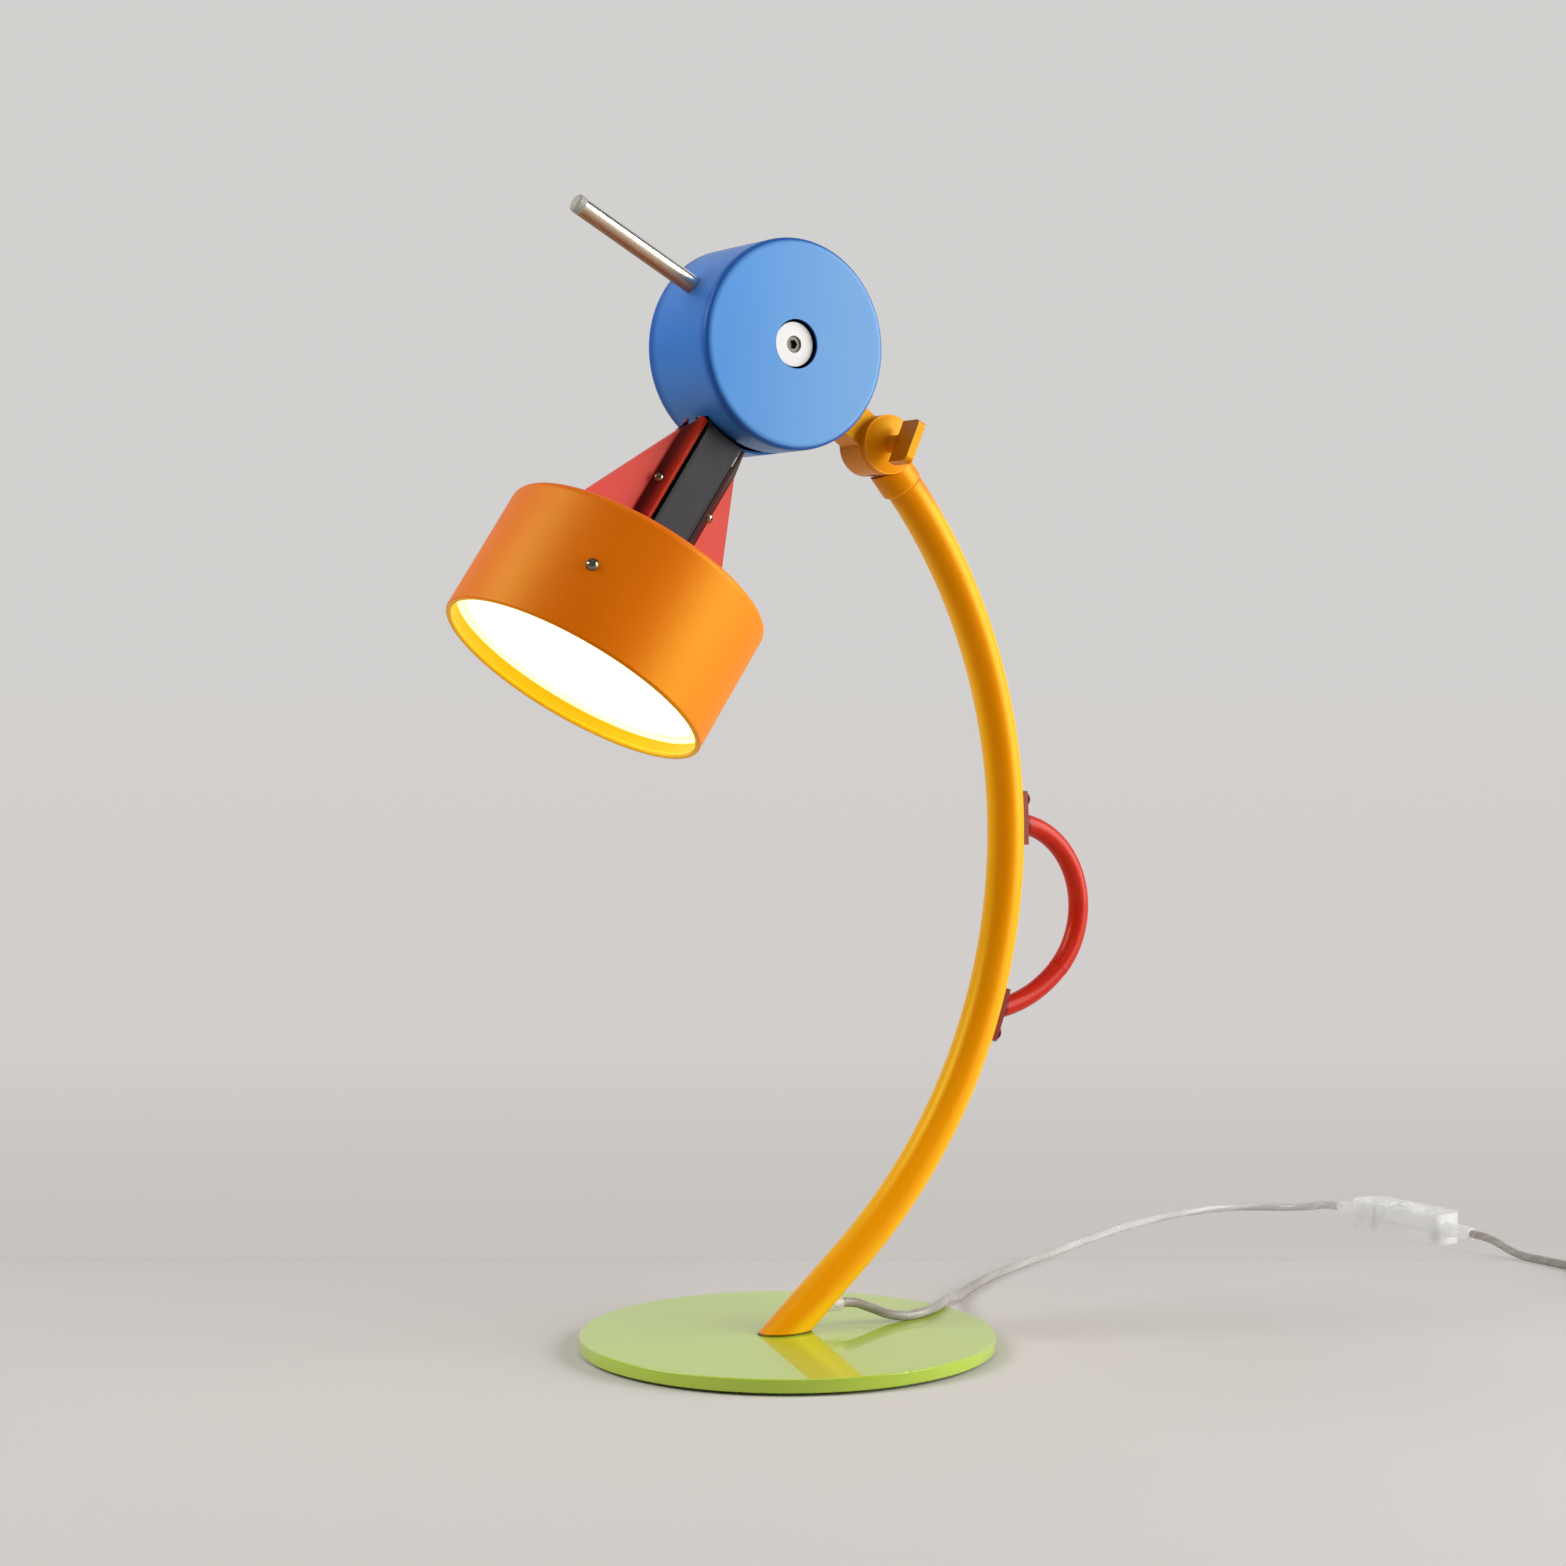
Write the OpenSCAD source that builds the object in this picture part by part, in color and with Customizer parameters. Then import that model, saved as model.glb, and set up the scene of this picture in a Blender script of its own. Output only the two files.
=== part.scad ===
// Table lamp: a bent tube stem on a round base, a tilting drum head and a shade that swings from the drum.
// Millimetres, +Z up. The origin is the middle of the underside of the base, on the table.
// The lamp stands in the XZ plane: the shade reaches towards -X, and the eye of the drum looks towards -Y.

/* [Base] */
// Diameter of the base plate
base_d = 216; // [190:1:260]
// Thickness of the base plate
base_t = 7; // [6:0.5:12]
// Thickness of the pad under the plate
pad_t = 1.5; // [1:0.1:3]
// How far the pad is set in from the edge of the plate
pad_inset = 8; // [3:0.5:20]
// Rounding along the edges of the base plate
base_round = 0.8; // [0.3:0.1:2]
// Diameter of the bolt that holds the stem down
foot_bolt_d = 8; // [5:0.5:9]

/* [Stem] */
// Outside diameter of the stem tube
stem_d = 20; // [18:0.5:26]
// Wall of the stem tube
stem_wall = 1.5; // [1:0.1:2.5]
// Radius of the stem's bend, to the middle of the tube
stem_bend_r = 287; // [270:1:310]
// Lean of the straight run at the foot, from the table
stem_lean = 40.5; // [38:0.5:46]
// Length of the straight run at the foot
stem_run = 56; // [48:1:70]
// Angle of the bend, from the straight run to the knuckle
stem_sweep = 95.3; // [92:0.1:98]
// Place of the foot on the base, along X
foot_x = -2; // [-12:0.5:10]
// Diameter of the round collar on the stem, below the knuckle
stem_end_d = 22.8; // [21.4:0.2:22.8]
// Distance of the collar's lower face from the pivot
stem_end_l = 28; // [25:0.5:36]
// Depth of the stem's end plug in the tube
plug_depth = 16; // [8:1:30]

/* [Knuckle] */
// Diameter of the knuckle
knuckle_d = 31; // [28:0.5:36]
// Width of the knuckle along the pivot
knuckle_w = 23; // [21:0.5:30]
// Thickness of the stem's tongue in the knuckle
tongue_t = 7; // [5:0.5:9]
// Thickness of each friction washer
washer_t = 0.6; // [0.4:0.1:1.2]
// Diameter of the pivot stud
pivot_d = 6; // [5:0.5:8]
// Thickness of the rim of the clamping knob
knob_rim = 2.4; // [1.5:0.1:5]
// Height of the knob's dome
knob_dome = 2.6; // [1:0.1:5]
// Length of the knob's wing
wing_l = 23.5; // [16:0.5:27]
// How far the wing stands out
wing_out = 15; // [8:0.5:22]
// Thickness of the wing
wing_t = 4.5; // [3:0.25:7]
// Length of the neck between the knob and its wing
wing_neck = 8.5; // [6:0.5:14]
// Lean of the wing from upright
wing_lean = 24; // [0:1:60]

/* [Drum] */
// Diameter of the drum
drum_d = 107; // [98:1:125]
// Depth of the drum
drum_w = 56; // [52:1:70]
// Wall of the drum
drum_wall = 1.2; // [1:0.1:2.5]
// Thickness of the drum's front
drum_face = 1.5; // [1.2:0.1:4]
// Rounding along the front edge of the drum
drum_round = 3.5; // [3:0.5:9]
// Thickness of the back cover
back_t = 2; // [1.5:0.1:4]
// Distance from the knuckle's pivot to the drum's surface
lug_reach = 28; // [26:0.5:40]
// Width of the lug between the drum and the knuckle
lug_w = 18.5; // [14:0.5:24]
// Direction from the knuckle to the middle of the drum, from level
lug_angle = 145; // [138:0.5:152]
// Diameter of the eye hole
eye_hole_d = 25; // [22.5:0.5:32]
// Diameter of the white hub in the eye
hub_d = 22.4; // [19:0.1:22.4]
// Depth of the hub's face below the drum's front
hub_set = 2.6; // [2:0.1:6]
// Diameter of the journal that the arm turns on
journal_d = 14; // [11:0.5:16]
// Diameter of the axle bolt
axle_d = 5; // [4:0.5:6]

/* [Rod] */
// Diameter of the chrome rod
rod_d = 9.5; // [8:0.5:12]
// Length of the rod outside the drum
rod_l = 76; // [40:1:110]
// Direction of the rod, from level
rod_angle = 152; // [140:1:165]
// Distance of the rod's line above the drum's axis
rod_offset = 5; // [0:0.5:8]
// Length of the rod's end cap
cap_l = 4.5; // [3:0.5:10]

/* [Neck] */
// Angle of the neck from upright
neck_angle = 34; // [30:0.5:36]
// Length of the neck, from the drum's surface to the top of the shade
neck_l = 81; // [76:1:100]
// Gap between the drum and the end of the neck
neck_gap = 3.5; // [2:0.25:6]
// Width of the neck bar's front
bar_w = 21.6; // [20:0.2:24]
// Thickness of the neck bar
bar_t = 22.6; // [20:0.2:30]
// Thickness of the arm's tongue inside the drum
arm_t = 11; // [9:0.5:13]
// Width of the arm's tongue
arm_w = 18; // [16:0.5:20]
// Sheet of the red shells
sheet = 1.4; // [1:0.1:2]
// Slope of the fins' edges, from the neck
fin_angle = 25; // [15:1:30]
// Half width of the fins where the neck starts
fin_top = 15.6; // [13:0.2:20]
// Swing of the shade outwards
swing_out = 2; // [2:1:8]
// Swing of the shade towards the stem
swing_in = 35; // [10:1:35]

/* [Shade] */
// Diameter of the shade
shade_d = 143; // [125:1:165]
// Length of the shade
shade_l = 70; // [66:1:100]
// Wall of the shade
shade_wall = 1.2; // [1:0.1:2.5]
// Rounding along the top edge of the shade
shade_round = 4; // [4:0.5:12]
// Depth of the diffuser inside the rim
diffuser_set = 10; // [6:0.5:16]
// Thickness of the diffuser
diffuser_t = 2.4; // [1.5:0.1:4]
// Height of the rim of the plate that carries the light
plate_t = 8; // [6:0.5:12]
// Depth of the light plate below the top of the shade
plate_set = 31; // [26:0.5:34]

/* [Handle] */
// Radius of the hand grip's upper arc, to the middle of the bar
grip_r = 47; // [40:0.5:52]
// Radius of its flatter lower arc
grip_tail_r = 72; // [60:1:90]
// Diameter of the grip's bar
grip_d = 11; // [8:0.5:12]
// Width of the grip's feet
grip_w = 13; // [11:0.5:16]
// Place of the grip on the stem, from level at the bend's middle
grip_polar = -8; // [-14:0.2:4]
// Half length of each foot of the handle, along the stem
grip_foot = 14; // [13.8:0.1:20]
// Thickness of each foot
grip_foot_t = 2.6; // [1.5:0.1:4]

/* [Cord] */
// Diameter of the cord
cord_d = 5; // [4:0.1:5.2]
// Length of the switch case
switch_l = 74; // [66:1:74]
// Width of the switch case
switch_w = 26; // [22:0.5:32]
// Height of the switch case
switch_h = 19; // [18:0.5:22]
// Wall of the switch case
switch_wall = 2; // [1.5:0.1:2.5]
// Travel of the rocker, in degrees
rocker_travel = 12; // [6:1:14]
// Width of the plug
mains_plug_w = 36; // [32:1:42]
// Length of the plug's body
mains_plug_l = 35; // [28:1:45]

/* [Hidden] */
$fn = 64;
// Clearances: a running fit, a loose seat, a gap beside moving faces
fit = 0.05;
seat = 0.1;
gap = 0.3;

// Heights and places that follow from the sizes above
base_top = pad_t + base_t;
foot = [foot_x, 0, base_top];
bend_start = foot + stem_run * [cos(stem_lean), 0, sin(stem_lean)];
bend_mid = bend_start + stem_bend_r * [-sin(stem_lean), 0, cos(stem_lean)];
bend_from = stem_lean - 90;
knuckle_polar = bend_from + stem_sweep;
knuckle_r = knuckle_d / 2;
knuckle = polar(bend_mid, stem_bend_r, knuckle_polar);
drum_r = drum_d / 2;
drum_mid = polar(knuckle, drum_r + lug_reach, lug_angle);
shade_r = shade_d / 2;
shade_top = drum_r + neck_l;
bore_r = stem_d / 2 - stem_wall;
tilt_slot = tongue_t + 2 * washer_t + 4 * fit;
swing_slot = arm_t + 2 * washer_t + 4 * fit;

// Degrees along the bend that a length on its middle line takes
function along_bend(l) = l / stem_bend_r * 180 / PI;
function polar(c, r, a) = c + r * [cos(a), 0, sin(a)];

// Place on the bend of the collar's lower face, the way from the pivot down to it, and its shift inwards
collar_polar = knuckle_polar - along_bend(stem_end_l);
down_stem = knuckle_polar - 90 - along_bend(stem_end_l) / 2;
collar_round = 2;
collar_shift = 0.8;
tongue_d = knuckle_d - 8;
web_w = 0.55 * stem_end_d;

// Flat shapes and frames that several pieces share
module xz(w) {
    rotate([90, 0, 0])
        linear_extrude(w, center = true)
            children();
}

module ycyl(d, y0, y1) {
    translate([0, y1, 0])
        rotate([90, 0, 0])
            cylinder(d = d, h = y1 - y0);
}

module at(p) {
    translate(p)
        children();
}

// Turns +X into the direction a in the XZ plane
module facing(a) {
    rotate([0, -a, 0])
        children();
}

module xcyl(d, x0, x1) {
    translate([x0, 0, 0])
        rotate([0, 90, 0])
            cylinder(d = d, h = x1 - x0);
}

// Sweeps a flat shape along the stem's bend; its x is the distance from the middle of the tube, outwards
module bend(a0, a1) {
    at(bend_mid)
        rotate([90, 0, 0])
            rotate([0, 0, a0])
                rotate_extrude(angle = a1 - a0)
                    translate([stem_bend_r, 0])
                        children();
}

// A stretch along the straight run, from its lower end
module run(l0, l1) {
    at(foot)
        rotate([0, 90 - stem_lean, 0])
            translate([0, 0, l0])
                linear_extrude(l1 - l0)
                    children();
}

// The neck's frame: Z points up the neck from the shade to the middle of the drum, X is across the neck
module on_neck() {
    at(drum_mid)
        rotate([0, neck_angle, 0])
            children();
}

// The shade's frame: its top face is at Z = 0 and its mouth points down
module on_shade() {
    on_neck()
        translate([0, 0, -shade_top])
            children();
}

module cup_outline(r, h, f) {
    translate([0, -h])
        square([r, h - f]);
    translate([0, -f])
        square([r - f, f]);
    translate([r - f, -f])
        circle(f);
}

module ring(d_out, d_in, h) {
    difference() {
        cylinder(d = d_out, h = h);
        translate([0, 0, -1])
            cylinder(d = d_in, h = h + 2);
    }
}

module round_box(size, r) {
    linear_extrude(size.z)
        round_rect(size.x, size.y, r);
}

module round_rect(w, l, r) {
    square([w - 2 * r, l], center = true);
    square([w, l - 2 * r], center = true);
    for (x = [-1, 1], y = [-1, 1])
        translate([x * (w / 2 - r), y * (l / 2 - r)])
            circle(r);
}

// A screw along -Z with its domed head above Z = 0 and a cross slot in the head
module screw(d, l, head_d, head_h) {
    sphere_r = (head_d * head_d / 4 + head_h * head_h) / (2 * head_h);
    translate([0, 0, -l])
        cylinder(d = d, h = l);
    difference() {
        intersection() {
            cylinder(d = head_d, h = head_h);
            translate([0, 0, head_h - sphere_r])
                sphere(sphere_r);
        }
        for (a = [0, 90])
            rotate(a)
                translate([0, 0, head_h])
                    cube([head_d * 0.62, head_d * 0.14, head_h * 0.9], center = true);
    }
}

// A tube along points, with triangular sides
function unit(v) = v / norm(v);
function heading(p, i) = unit(p[min(i + 1, len(p) - 1)] - p[max(i - 1, 0)]);
function side_of(t) = unit(cross(t, [0, 0, 1]));
function ring_points(p, i, r, n) =
    let (t = heading(p, i), s = side_of(t), u = cross(s, t))
    [for (k = [0 : n - 1]) p[i] + r * (cos(360 * (k + 0.5) / n) * s + sin(360 * (k + 0.5) / n) * u)];

module tube(p, d, n) {
    last = len(p) - 1;
    points = [for (i = [0 : last]) each ring_points(p, i, d / 2, n)];
    walls = [for (i = [0 : last - 1], k = [0 : n - 1])
        let (a = i * n + k, b = i * n + (k + 1) % n)
        each [[a, b, b + n], [a, b + n, a + n]]];
    near = [for (k = [1 : n - 2]) [0, k + 1, k]];
    far = [for (k = [1 : n - 2]) [last * n, last * n + k, last * n + k + 1]];
    polyhedron(points, concat(walls, near, far));
}

// A smooth line through route points, with a number of steps between each pair
function catmull(a, b, c, d, t) =
    0.5 * (2 * b + (c - a) * t + (2 * a - 5 * b + 4 * c - d) * t * t + (3 * b - a - 3 * c + d) * t * t * t);
function smooth(p, steps) =
    let (n = len(p) - 1)
    concat([for (i = [0 : n - 1], s = [0 : steps - 1])
        catmull(p[max(i - 1, 0)], p[i], p[i + 1], p[min(i + 2, n)], s / steps)], [p[n]]);
function path_length(p) = len(p) < 2 ? 0 : add([for (i = [1 : len(p) - 1]) norm(p[i] - p[i - 1])], 0);
function add(v, i) = i == len(v) ? 0 : v[i] + add(v, i + 1);

// Base

module base_pad() {
    color("#23211f")
        cylinder(d = base_d - 2 * pad_inset, h = pad_t);
}

module base_plate() {
    head_h = 0.5 * base_t;
    color("#a9c35a")
        difference() {
            translate([0, 0, pad_t])
                rotate_extrude() {
                    translate([0, base_round])
                        square([base_d / 2, base_t - 2 * base_round]);
                    square([base_d / 2 - base_round, base_t]);
                    for (z = [base_round, base_t - base_round])
                        translate([base_d / 2 - base_round, z])
                            circle(base_round);
                }
            translate([foot_x, 0, 0]) {
                cylinder(d = foot_bolt_d + 2 * fit, h = base_top + 1);
                cylinder(d = 2 * foot_bolt_d + 2 * gap, h = pad_t + head_h + gap);
            }
        }
}

foot_bolt_in = 5.5;

module base_bolt() {
    head_h = 0.5 * base_t;
    color("#8d9096")
        translate([foot_x, 0, pad_t + gap]) {
            difference() {
                cylinder(d = 2 * foot_bolt_d, h = head_h);
                translate([0, 0, -1])
                    cylinder(d = foot_bolt_d, h = 1 + head_h / 2, $fn = 6);
            }
            cylinder(d = foot_bolt_d, h = base_top - pad_t - gap + foot_bolt_in);
        }
}

// Stem

foot_plug_l = 40;

module foot_plug() {
    color("#8d9096")
        difference() {
            run(-2 * stem_d, foot_plug_l)
                circle(bore_r - seat);
            below_base();
            translate([foot_x, 0, 0])
                cylinder(d = foot_bolt_d + 2 * fit, h = base_top + foot_bolt_in + gap);
            cord_hole(bush_d + 2 * gap);
        }
}

module below_base() {
    translate([foot_x, 0, base_top - 2 * stem_d])
        cube([8 * stem_d, 4 * stem_d, 4 * stem_d], center = true);
}

// The cord leaves the straight run level, through a bush
bush_d = cord_d + 3;
exit_z = 20;
exit_x = 33;
bush_face = 3;

module cord_hole(d) {
    translate([0, 0, exit_z])
        xcyl(d, (exit_z - base_top) / tan(stem_lean) + foot_x, exit_x + stem_d);
}

// The grip is two arcs in the stem's plane, each from the turn between them to the stem's middle line
grip_turn = grip_polar - 38;
grip_mid = polar(bend_mid, stem_bend_r + 6, grip_polar);
tail_mid = polar(grip_mid, grip_r - grip_tail_r, grip_turn);

// Direction from a to b in the XZ plane
function way(a, b) = atan2(b.z - a.z, b.x - a.x);
// Angle at c, from the way to the bend's middle, to where an arc of radius r is `reach` from that middle
function meets(c, r, reach) =
    let (d = norm(bend_mid - c))
    acos((d * d + r * r - reach * reach) / (2 * d * r));
function grip_top(reach) = way(grip_mid, bend_mid) - meets(grip_mid, grip_r, reach);
function grip_end(reach) = way(tail_mid, bend_mid) + meets(tail_mid, grip_tail_r, reach) - 360;

stem_back = stem_bend_r + stem_d / 2;
grip_feet = [
    way(bend_mid, polar(grip_mid, grip_r, grip_top(stem_back))) - grip_polar,
    way(bend_mid, polar(tail_mid, grip_tail_r, grip_end(stem_back))) - grip_polar,
];
grip_foot_out = along_bend(3);
foot_mids = [grip_feet[0] + grip_foot_out, grip_feet[1] - grip_foot_out];
grip_screw_d = 4;
grip_screw_out = along_bend(12.5);
grip_screws = [grip_feet[0] + grip_screw_out, grip_feet[1] - grip_screw_out];

module on_stem_back(a) {
    at(bend_mid)
        facing(grip_polar + a)
            translate([stem_back, 0, 0])
                children();
}

// The tube's wall; a thinner ring inside the wall ties the straight run to the bend
module stem_section(inset) {
    difference() {
        circle(stem_d / 2 - inset);
        circle(bore_r + inset);
    }
}

module stem_tube() {
    color("#d98a10")
        difference() {
            union() {
                run(-2 * stem_d, stem_run)
                    stem_section(0);
                run(stem_run - 1, stem_run + 1)
                    stem_section(stem_wall / 4);
                bend(bend_from, collar_polar - along_bend(seat))
                    stem_section(0);
            }
            below_base();
            cord_hole(bush_d + 2 * fit);
            for (a = grip_screws)
                on_stem_back(a)
                    xcyl(grip_screw_d + 2 * fit, -stem_d / 2, stem_d / 2);
        }
}

// The collar stands on its lower face, which has a round shoulder
module stem_collar() {
    l = stem_end_l - knuckle_r + 2;
    rotate_extrude() {
        square([stem_end_d / 2 - collar_round, l]);
        translate([0, collar_round])
            square([stem_end_d / 2, l - collar_round]);
        translate([stem_end_d / 2 - collar_round, collar_round])
            circle(collar_round);
    }
}

module stem_head() {
    web_t = tongue_t - 2 * gap;
    color("#d98a10")
        difference() {
            union() {
                difference() {
                    union() {
                        at(polar(bend_mid, stem_bend_r - collar_shift, collar_polar))
                            facing(collar_polar + 90)
                                rotate([0, 90, 0])
                                    stem_collar();
                        bend(collar_polar - along_bend(plug_depth), collar_polar + along_bend(2))
                            circle(bore_r - seat);
                    }
                    at(knuckle)
                        ycyl(knuckle_d + 4 * gap, -knuckle_w, knuckle_w);
                }
                at(knuckle) {
                    ycyl(tongue_d, -tongue_t / 2, tongue_t / 2);
                    facing(down_stem)
                        translate([0, -web_t / 2, -web_w / 2])
                            cube([stem_end_l - 4, web_t, web_w]);
                }
            }
            at(knuckle)
                ycyl(pivot_d + 2 * fit, -knuckle_w, knuckle_w);
            bend(collar_polar - 2 * along_bend(plug_depth), collar_polar + along_bend(3))
                circle(d = cord_d + 2 * gap);
        }
}

// The lead inside the stem runs from the foot plug into the stem head
module stem_lead() {
    color("#d8d4cc") {
        bend(bend_from, collar_polar - along_bend(2))
            circle(d = cord_d);
        run(foot_plug_l + seat, stem_run)
            circle(d = cord_d);
        run(stem_run - 1, stem_run + 1)
            circle(d = cord_d / 2);
    }
}

module cord_bush() {
    color("#2b2a2a")
        difference() {
            translate([0, 0, exit_z])
                difference() {
                    xcyl(bush_d, exit_x - bush_d - bush_face, exit_x);
                    xcyl(cord_d + 2 * seat, exit_x - 2 * bush_d - bush_face, exit_x + 1);
                }
            run(0, stem_run)
                circle(d = stem_d - 3 * stem_wall);
        }
}

// Handle

module grip_arc(c, r, from, to, d) {
    at(c)
        rotate([90, 0, 0])
            rotate([0, 0, from])
                rotate_extrude(angle = to - from)
                    translate([r, 0])
                        circle(d = d);
}

// The lower arc's bar is a little thinner and starts inside the upper one
module grab_handle() {
    color("#d64a26")
        difference() {
            union() {
                grip_arc(grip_mid, grip_r, grip_turn, grip_top(stem_bend_r), grip_d);
                grip_arc(tail_mid, grip_tail_r, grip_end(stem_bend_r), grip_turn + 2, grip_d - gap);
                for (a = foot_mids)
                    bend(grip_polar + a - along_bend(grip_foot), grip_polar + a + along_bend(grip_foot))
                        intersection() {
                            circle(stem_d / 2 + grip_foot_t);
                            translate([stem_d / 2, 0])
                                square([stem_d, grip_w], center = true);
                        }
            }
            bend(grip_polar - 2 * along_bend(2 * grip_r), grip_polar + 2 * along_bend(2 * grip_r))
                circle(stem_d / 2 + seat);
            for (a = grip_screws)
                on_stem_back(a)
                    xcyl(grip_screw_d + 2 * seat, -1, stem_d);
        }
}

module handle_screws() {
    color("#7d2a16")
        for (a = grip_screws)
            on_stem_back(a)
                translate([grip_foot_t + seat, 0, 0])
                    rotate([0, 90, 0])
                        screw(grip_screw_d, grip_foot_t + stem_wall + 2, 8.5, 3.4);
}

// Head: drum, hub and lug

post_r = drum_r - 9.5;
post_d = 8;
post_screw_d = 2.4;
post_angles = [45, 115, 190, 302];
neck_polar = 270 - neck_angle;
slot_half = asin((arm_w / 2 + 1) / (drum_r - drum_wall));
rod_stud_d = 6;
rod_reach = drum_r + rod_l;
lug_screw_d = 4;
lug_screw_y = 6.2;

module on_drum() {
    at(drum_mid)
        children();
}

module drum_posts(d, y0, y1) {
    on_drum()
        for (a = post_angles)
            facing(a)
                translate([post_r, 0, 0])
                    ycyl(d, y0, y1);
}

module on_rod() {
    on_drum()
        facing(rod_angle)
            translate([0, 0, -rod_offset])
                children();
}

module lug_screw_places() {
    on_drum()
        facing(lug_angle - 180)
            for (s = [-1, 1])
                translate([drum_r - drum_wall, s * lug_screw_y, 0])
                    children();
}

module drum_shell() {
    swing = swing_in + swing_out;
    color("#5f97d4")
        difference() {
            union() {
                on_drum()
                    translate([0, -drum_w / 2, 0])
                        rotate([90, 0, 0])
                            rotate_extrude()
                                difference() {
                                    cup_outline(drum_r, drum_w, drum_round);
                                    translate([0, -drum_face])
                                        cup_outline(drum_r - drum_wall, drum_w, drum_round - drum_wall);
                                }
                drum_posts(post_d, -drum_w / 2 + drum_face / 2, drum_w / 2 - back_t - seat);
            }
            on_drum() {
                ycyl(eye_hole_d, -drum_w, 0);
                rotate([90, 0, 0])
                    rotate([0, 0, neck_polar - swing_out - slot_half])
                        rotate_extrude(angle = swing + 2 * slot_half)
                            translate([drum_r - 2 * drum_wall, -swing_slot / 2])
                                square([4 * drum_wall, swing_slot]);
            }
            on_rod()
                xcyl(rod_stud_d + 2 * fit, 0, rod_reach);
            lug_screw_places()
                xcyl(lug_screw_d + 2 * fit, -2 * drum_wall, 2 * drum_wall);
            drum_posts(post_screw_d + 2 * fit, drum_w / 2 - 12, drum_w / 2);
        }
}

module drum_back() {
    color("#5f97d4")
        difference() {
            on_drum()
                ycyl(drum_d - 2 * drum_wall - 2 * seat, drum_w / 2 - back_t, drum_w / 2);
            drum_posts(post_screw_d + 2 * seat, 0, drum_w);
            on_drum()
                ycyl(axle_d + 2 * fit, 0, drum_w);
        }
}

module back_screws() {
    color("#8d9096")
        on_drum()
            for (a = post_angles)
                facing(a)
                    translate([post_r, drum_w / 2 + seat / 2, 0])
                        rotate([-90, 0, 0])
                            screw(post_screw_d, 10, 5, 1.8);
}

hub_face = -drum_w / 2 + hub_set;
axle_head_d = 1.7 * axle_d;
axle_head_h = axle_d;
axle_nut_h = 0.8 * axle_d;

module eye_hub() {
    color("#f4f1ec")
        on_drum()
            difference() {
                union() {
                    ycyl(hub_d, hub_face, -swing_slot / 2);
                    ycyl(journal_d, hub_face, swing_slot / 2);
                }
                ycyl(axle_d + 2 * fit, -drum_w, drum_w);
                ycyl(axle_head_d + 2 * seat, -drum_w, hub_face + axle_head_h + 1);
            }
}

module hub_spacer() {
    color("#f4f1ec")
        on_drum()
            difference() {
                ycyl(hub_d, swing_slot / 2 + fit, drum_w / 2 - back_t - fit);
                ycyl(axle_d + 2 * fit, -drum_w, drum_w);
            }
}

module axle_bolt() {
    head = hub_face + 1 - fit;
    color("#8d9096")
        on_drum()
            difference() {
                union() {
                    ycyl(axle_head_d, head, head + axle_head_h);
                    ycyl(axle_d, head, drum_w / 2 + axle_nut_h + 2);
                }
                translate([0, head + axle_head_h / 2, 0])
                    rotate([90, 0, 0])
                        cylinder(d = axle_d, h = axle_head_h, $fn = 6);
            }
}

module axle_nut() {
    color("#8d9096")
        on_drum()
            difference() {
                translate([0, drum_w / 2 + seat / 2 + axle_nut_h, 0])
                    rotate([90, 0, 0])
                        cylinder(d = 1.85 * axle_d, h = axle_nut_h, $fn = 6);
                ycyl(axle_d + 2 * fit, 0, drum_w);
            }
}

nut_af = 1.7 * pivot_d;
nut_h = 0.8 * pivot_d;
nut_y = knuckle_w / 2 - nut_h - gap;

lug_round = 3;

// The sector that the tongue's web sweeps in the lug as the head tilts
tilt_back = 15;
tilt_over = 30;
web_half = asin((web_w / 2 + gap) / (tongue_d / 2)) + 2;

module tilt_sector() {
    from = down_stem - tilt_back - web_half;
    step = (tilt_back + tilt_over + 2 * web_half) / 6;
    polygon(concat([[0, 0]], [for (k = [0:6]) knuckle_d * [cos(from + k * step), sin(from + k * step)]]));
}

// The round cheeks of the lug, with rounded edges
module lug_cheeks() {
    half = knuckle_w / 2;
    rotate([90, 0, 0])
        rotate_extrude() {
            translate([0, -half])
                square([knuckle_r - lug_round, knuckle_w]);
            translate([0, -half + lug_round])
                square([knuckle_r, knuckle_w - 2 * lug_round]);
            for (y = [-half + lug_round, half - lug_round])
                translate([knuckle_r - lug_round, y])
                    circle(lug_round);
        }
}

module drum_lug() {
    color("#d98a10")
        difference() {
            union() {
                at(knuckle)
                    lug_cheeks();
                on_drum()
                    facing(lug_angle - 180)
                        xz(knuckle_w - 2 * lug_round - gap)
                            translate([0, -lug_w / 2])
                                square([drum_r + lug_reach, lug_w]);
            }
            on_drum()
                ycyl(drum_d + 2 * seat, -knuckle_w, knuckle_w);
            at(knuckle) {
                ycyl(tongue_d + 4 * gap, -tilt_slot / 2, tilt_slot / 2);
                xz(tilt_slot - 2 * seat)
                    tilt_sector();
                ycyl(pivot_d + 2 * fit, -knuckle_w, knuckle_w);
                translate([0, knuckle_w, 0])
                    rotate([90, 0, 0])
                        cylinder(d = (nut_af + 2 * seat) / cos(30), h = knuckle_w - nut_y, $fn = 6);
            }
            lug_screw_places()
                xcyl(lug_screw_d + 2 * fit, -1, lug_screw_l + gap);
        }
}

lug_screw_l = drum_wall + 8;

module lug_screws() {
    color("#8d9096")
        lug_screw_places()
            translate([-sagitta(drum_r - drum_wall, 4) - seat, 0, 0])
                rotate([0, -90, 0])
                    screw(lug_screw_d, lug_screw_l, 8, 2.6);
}

// Height of an arc of radius r over a chord of half width h
function sagitta(r, h) = r - sqrt(r * r - h * h);

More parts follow.
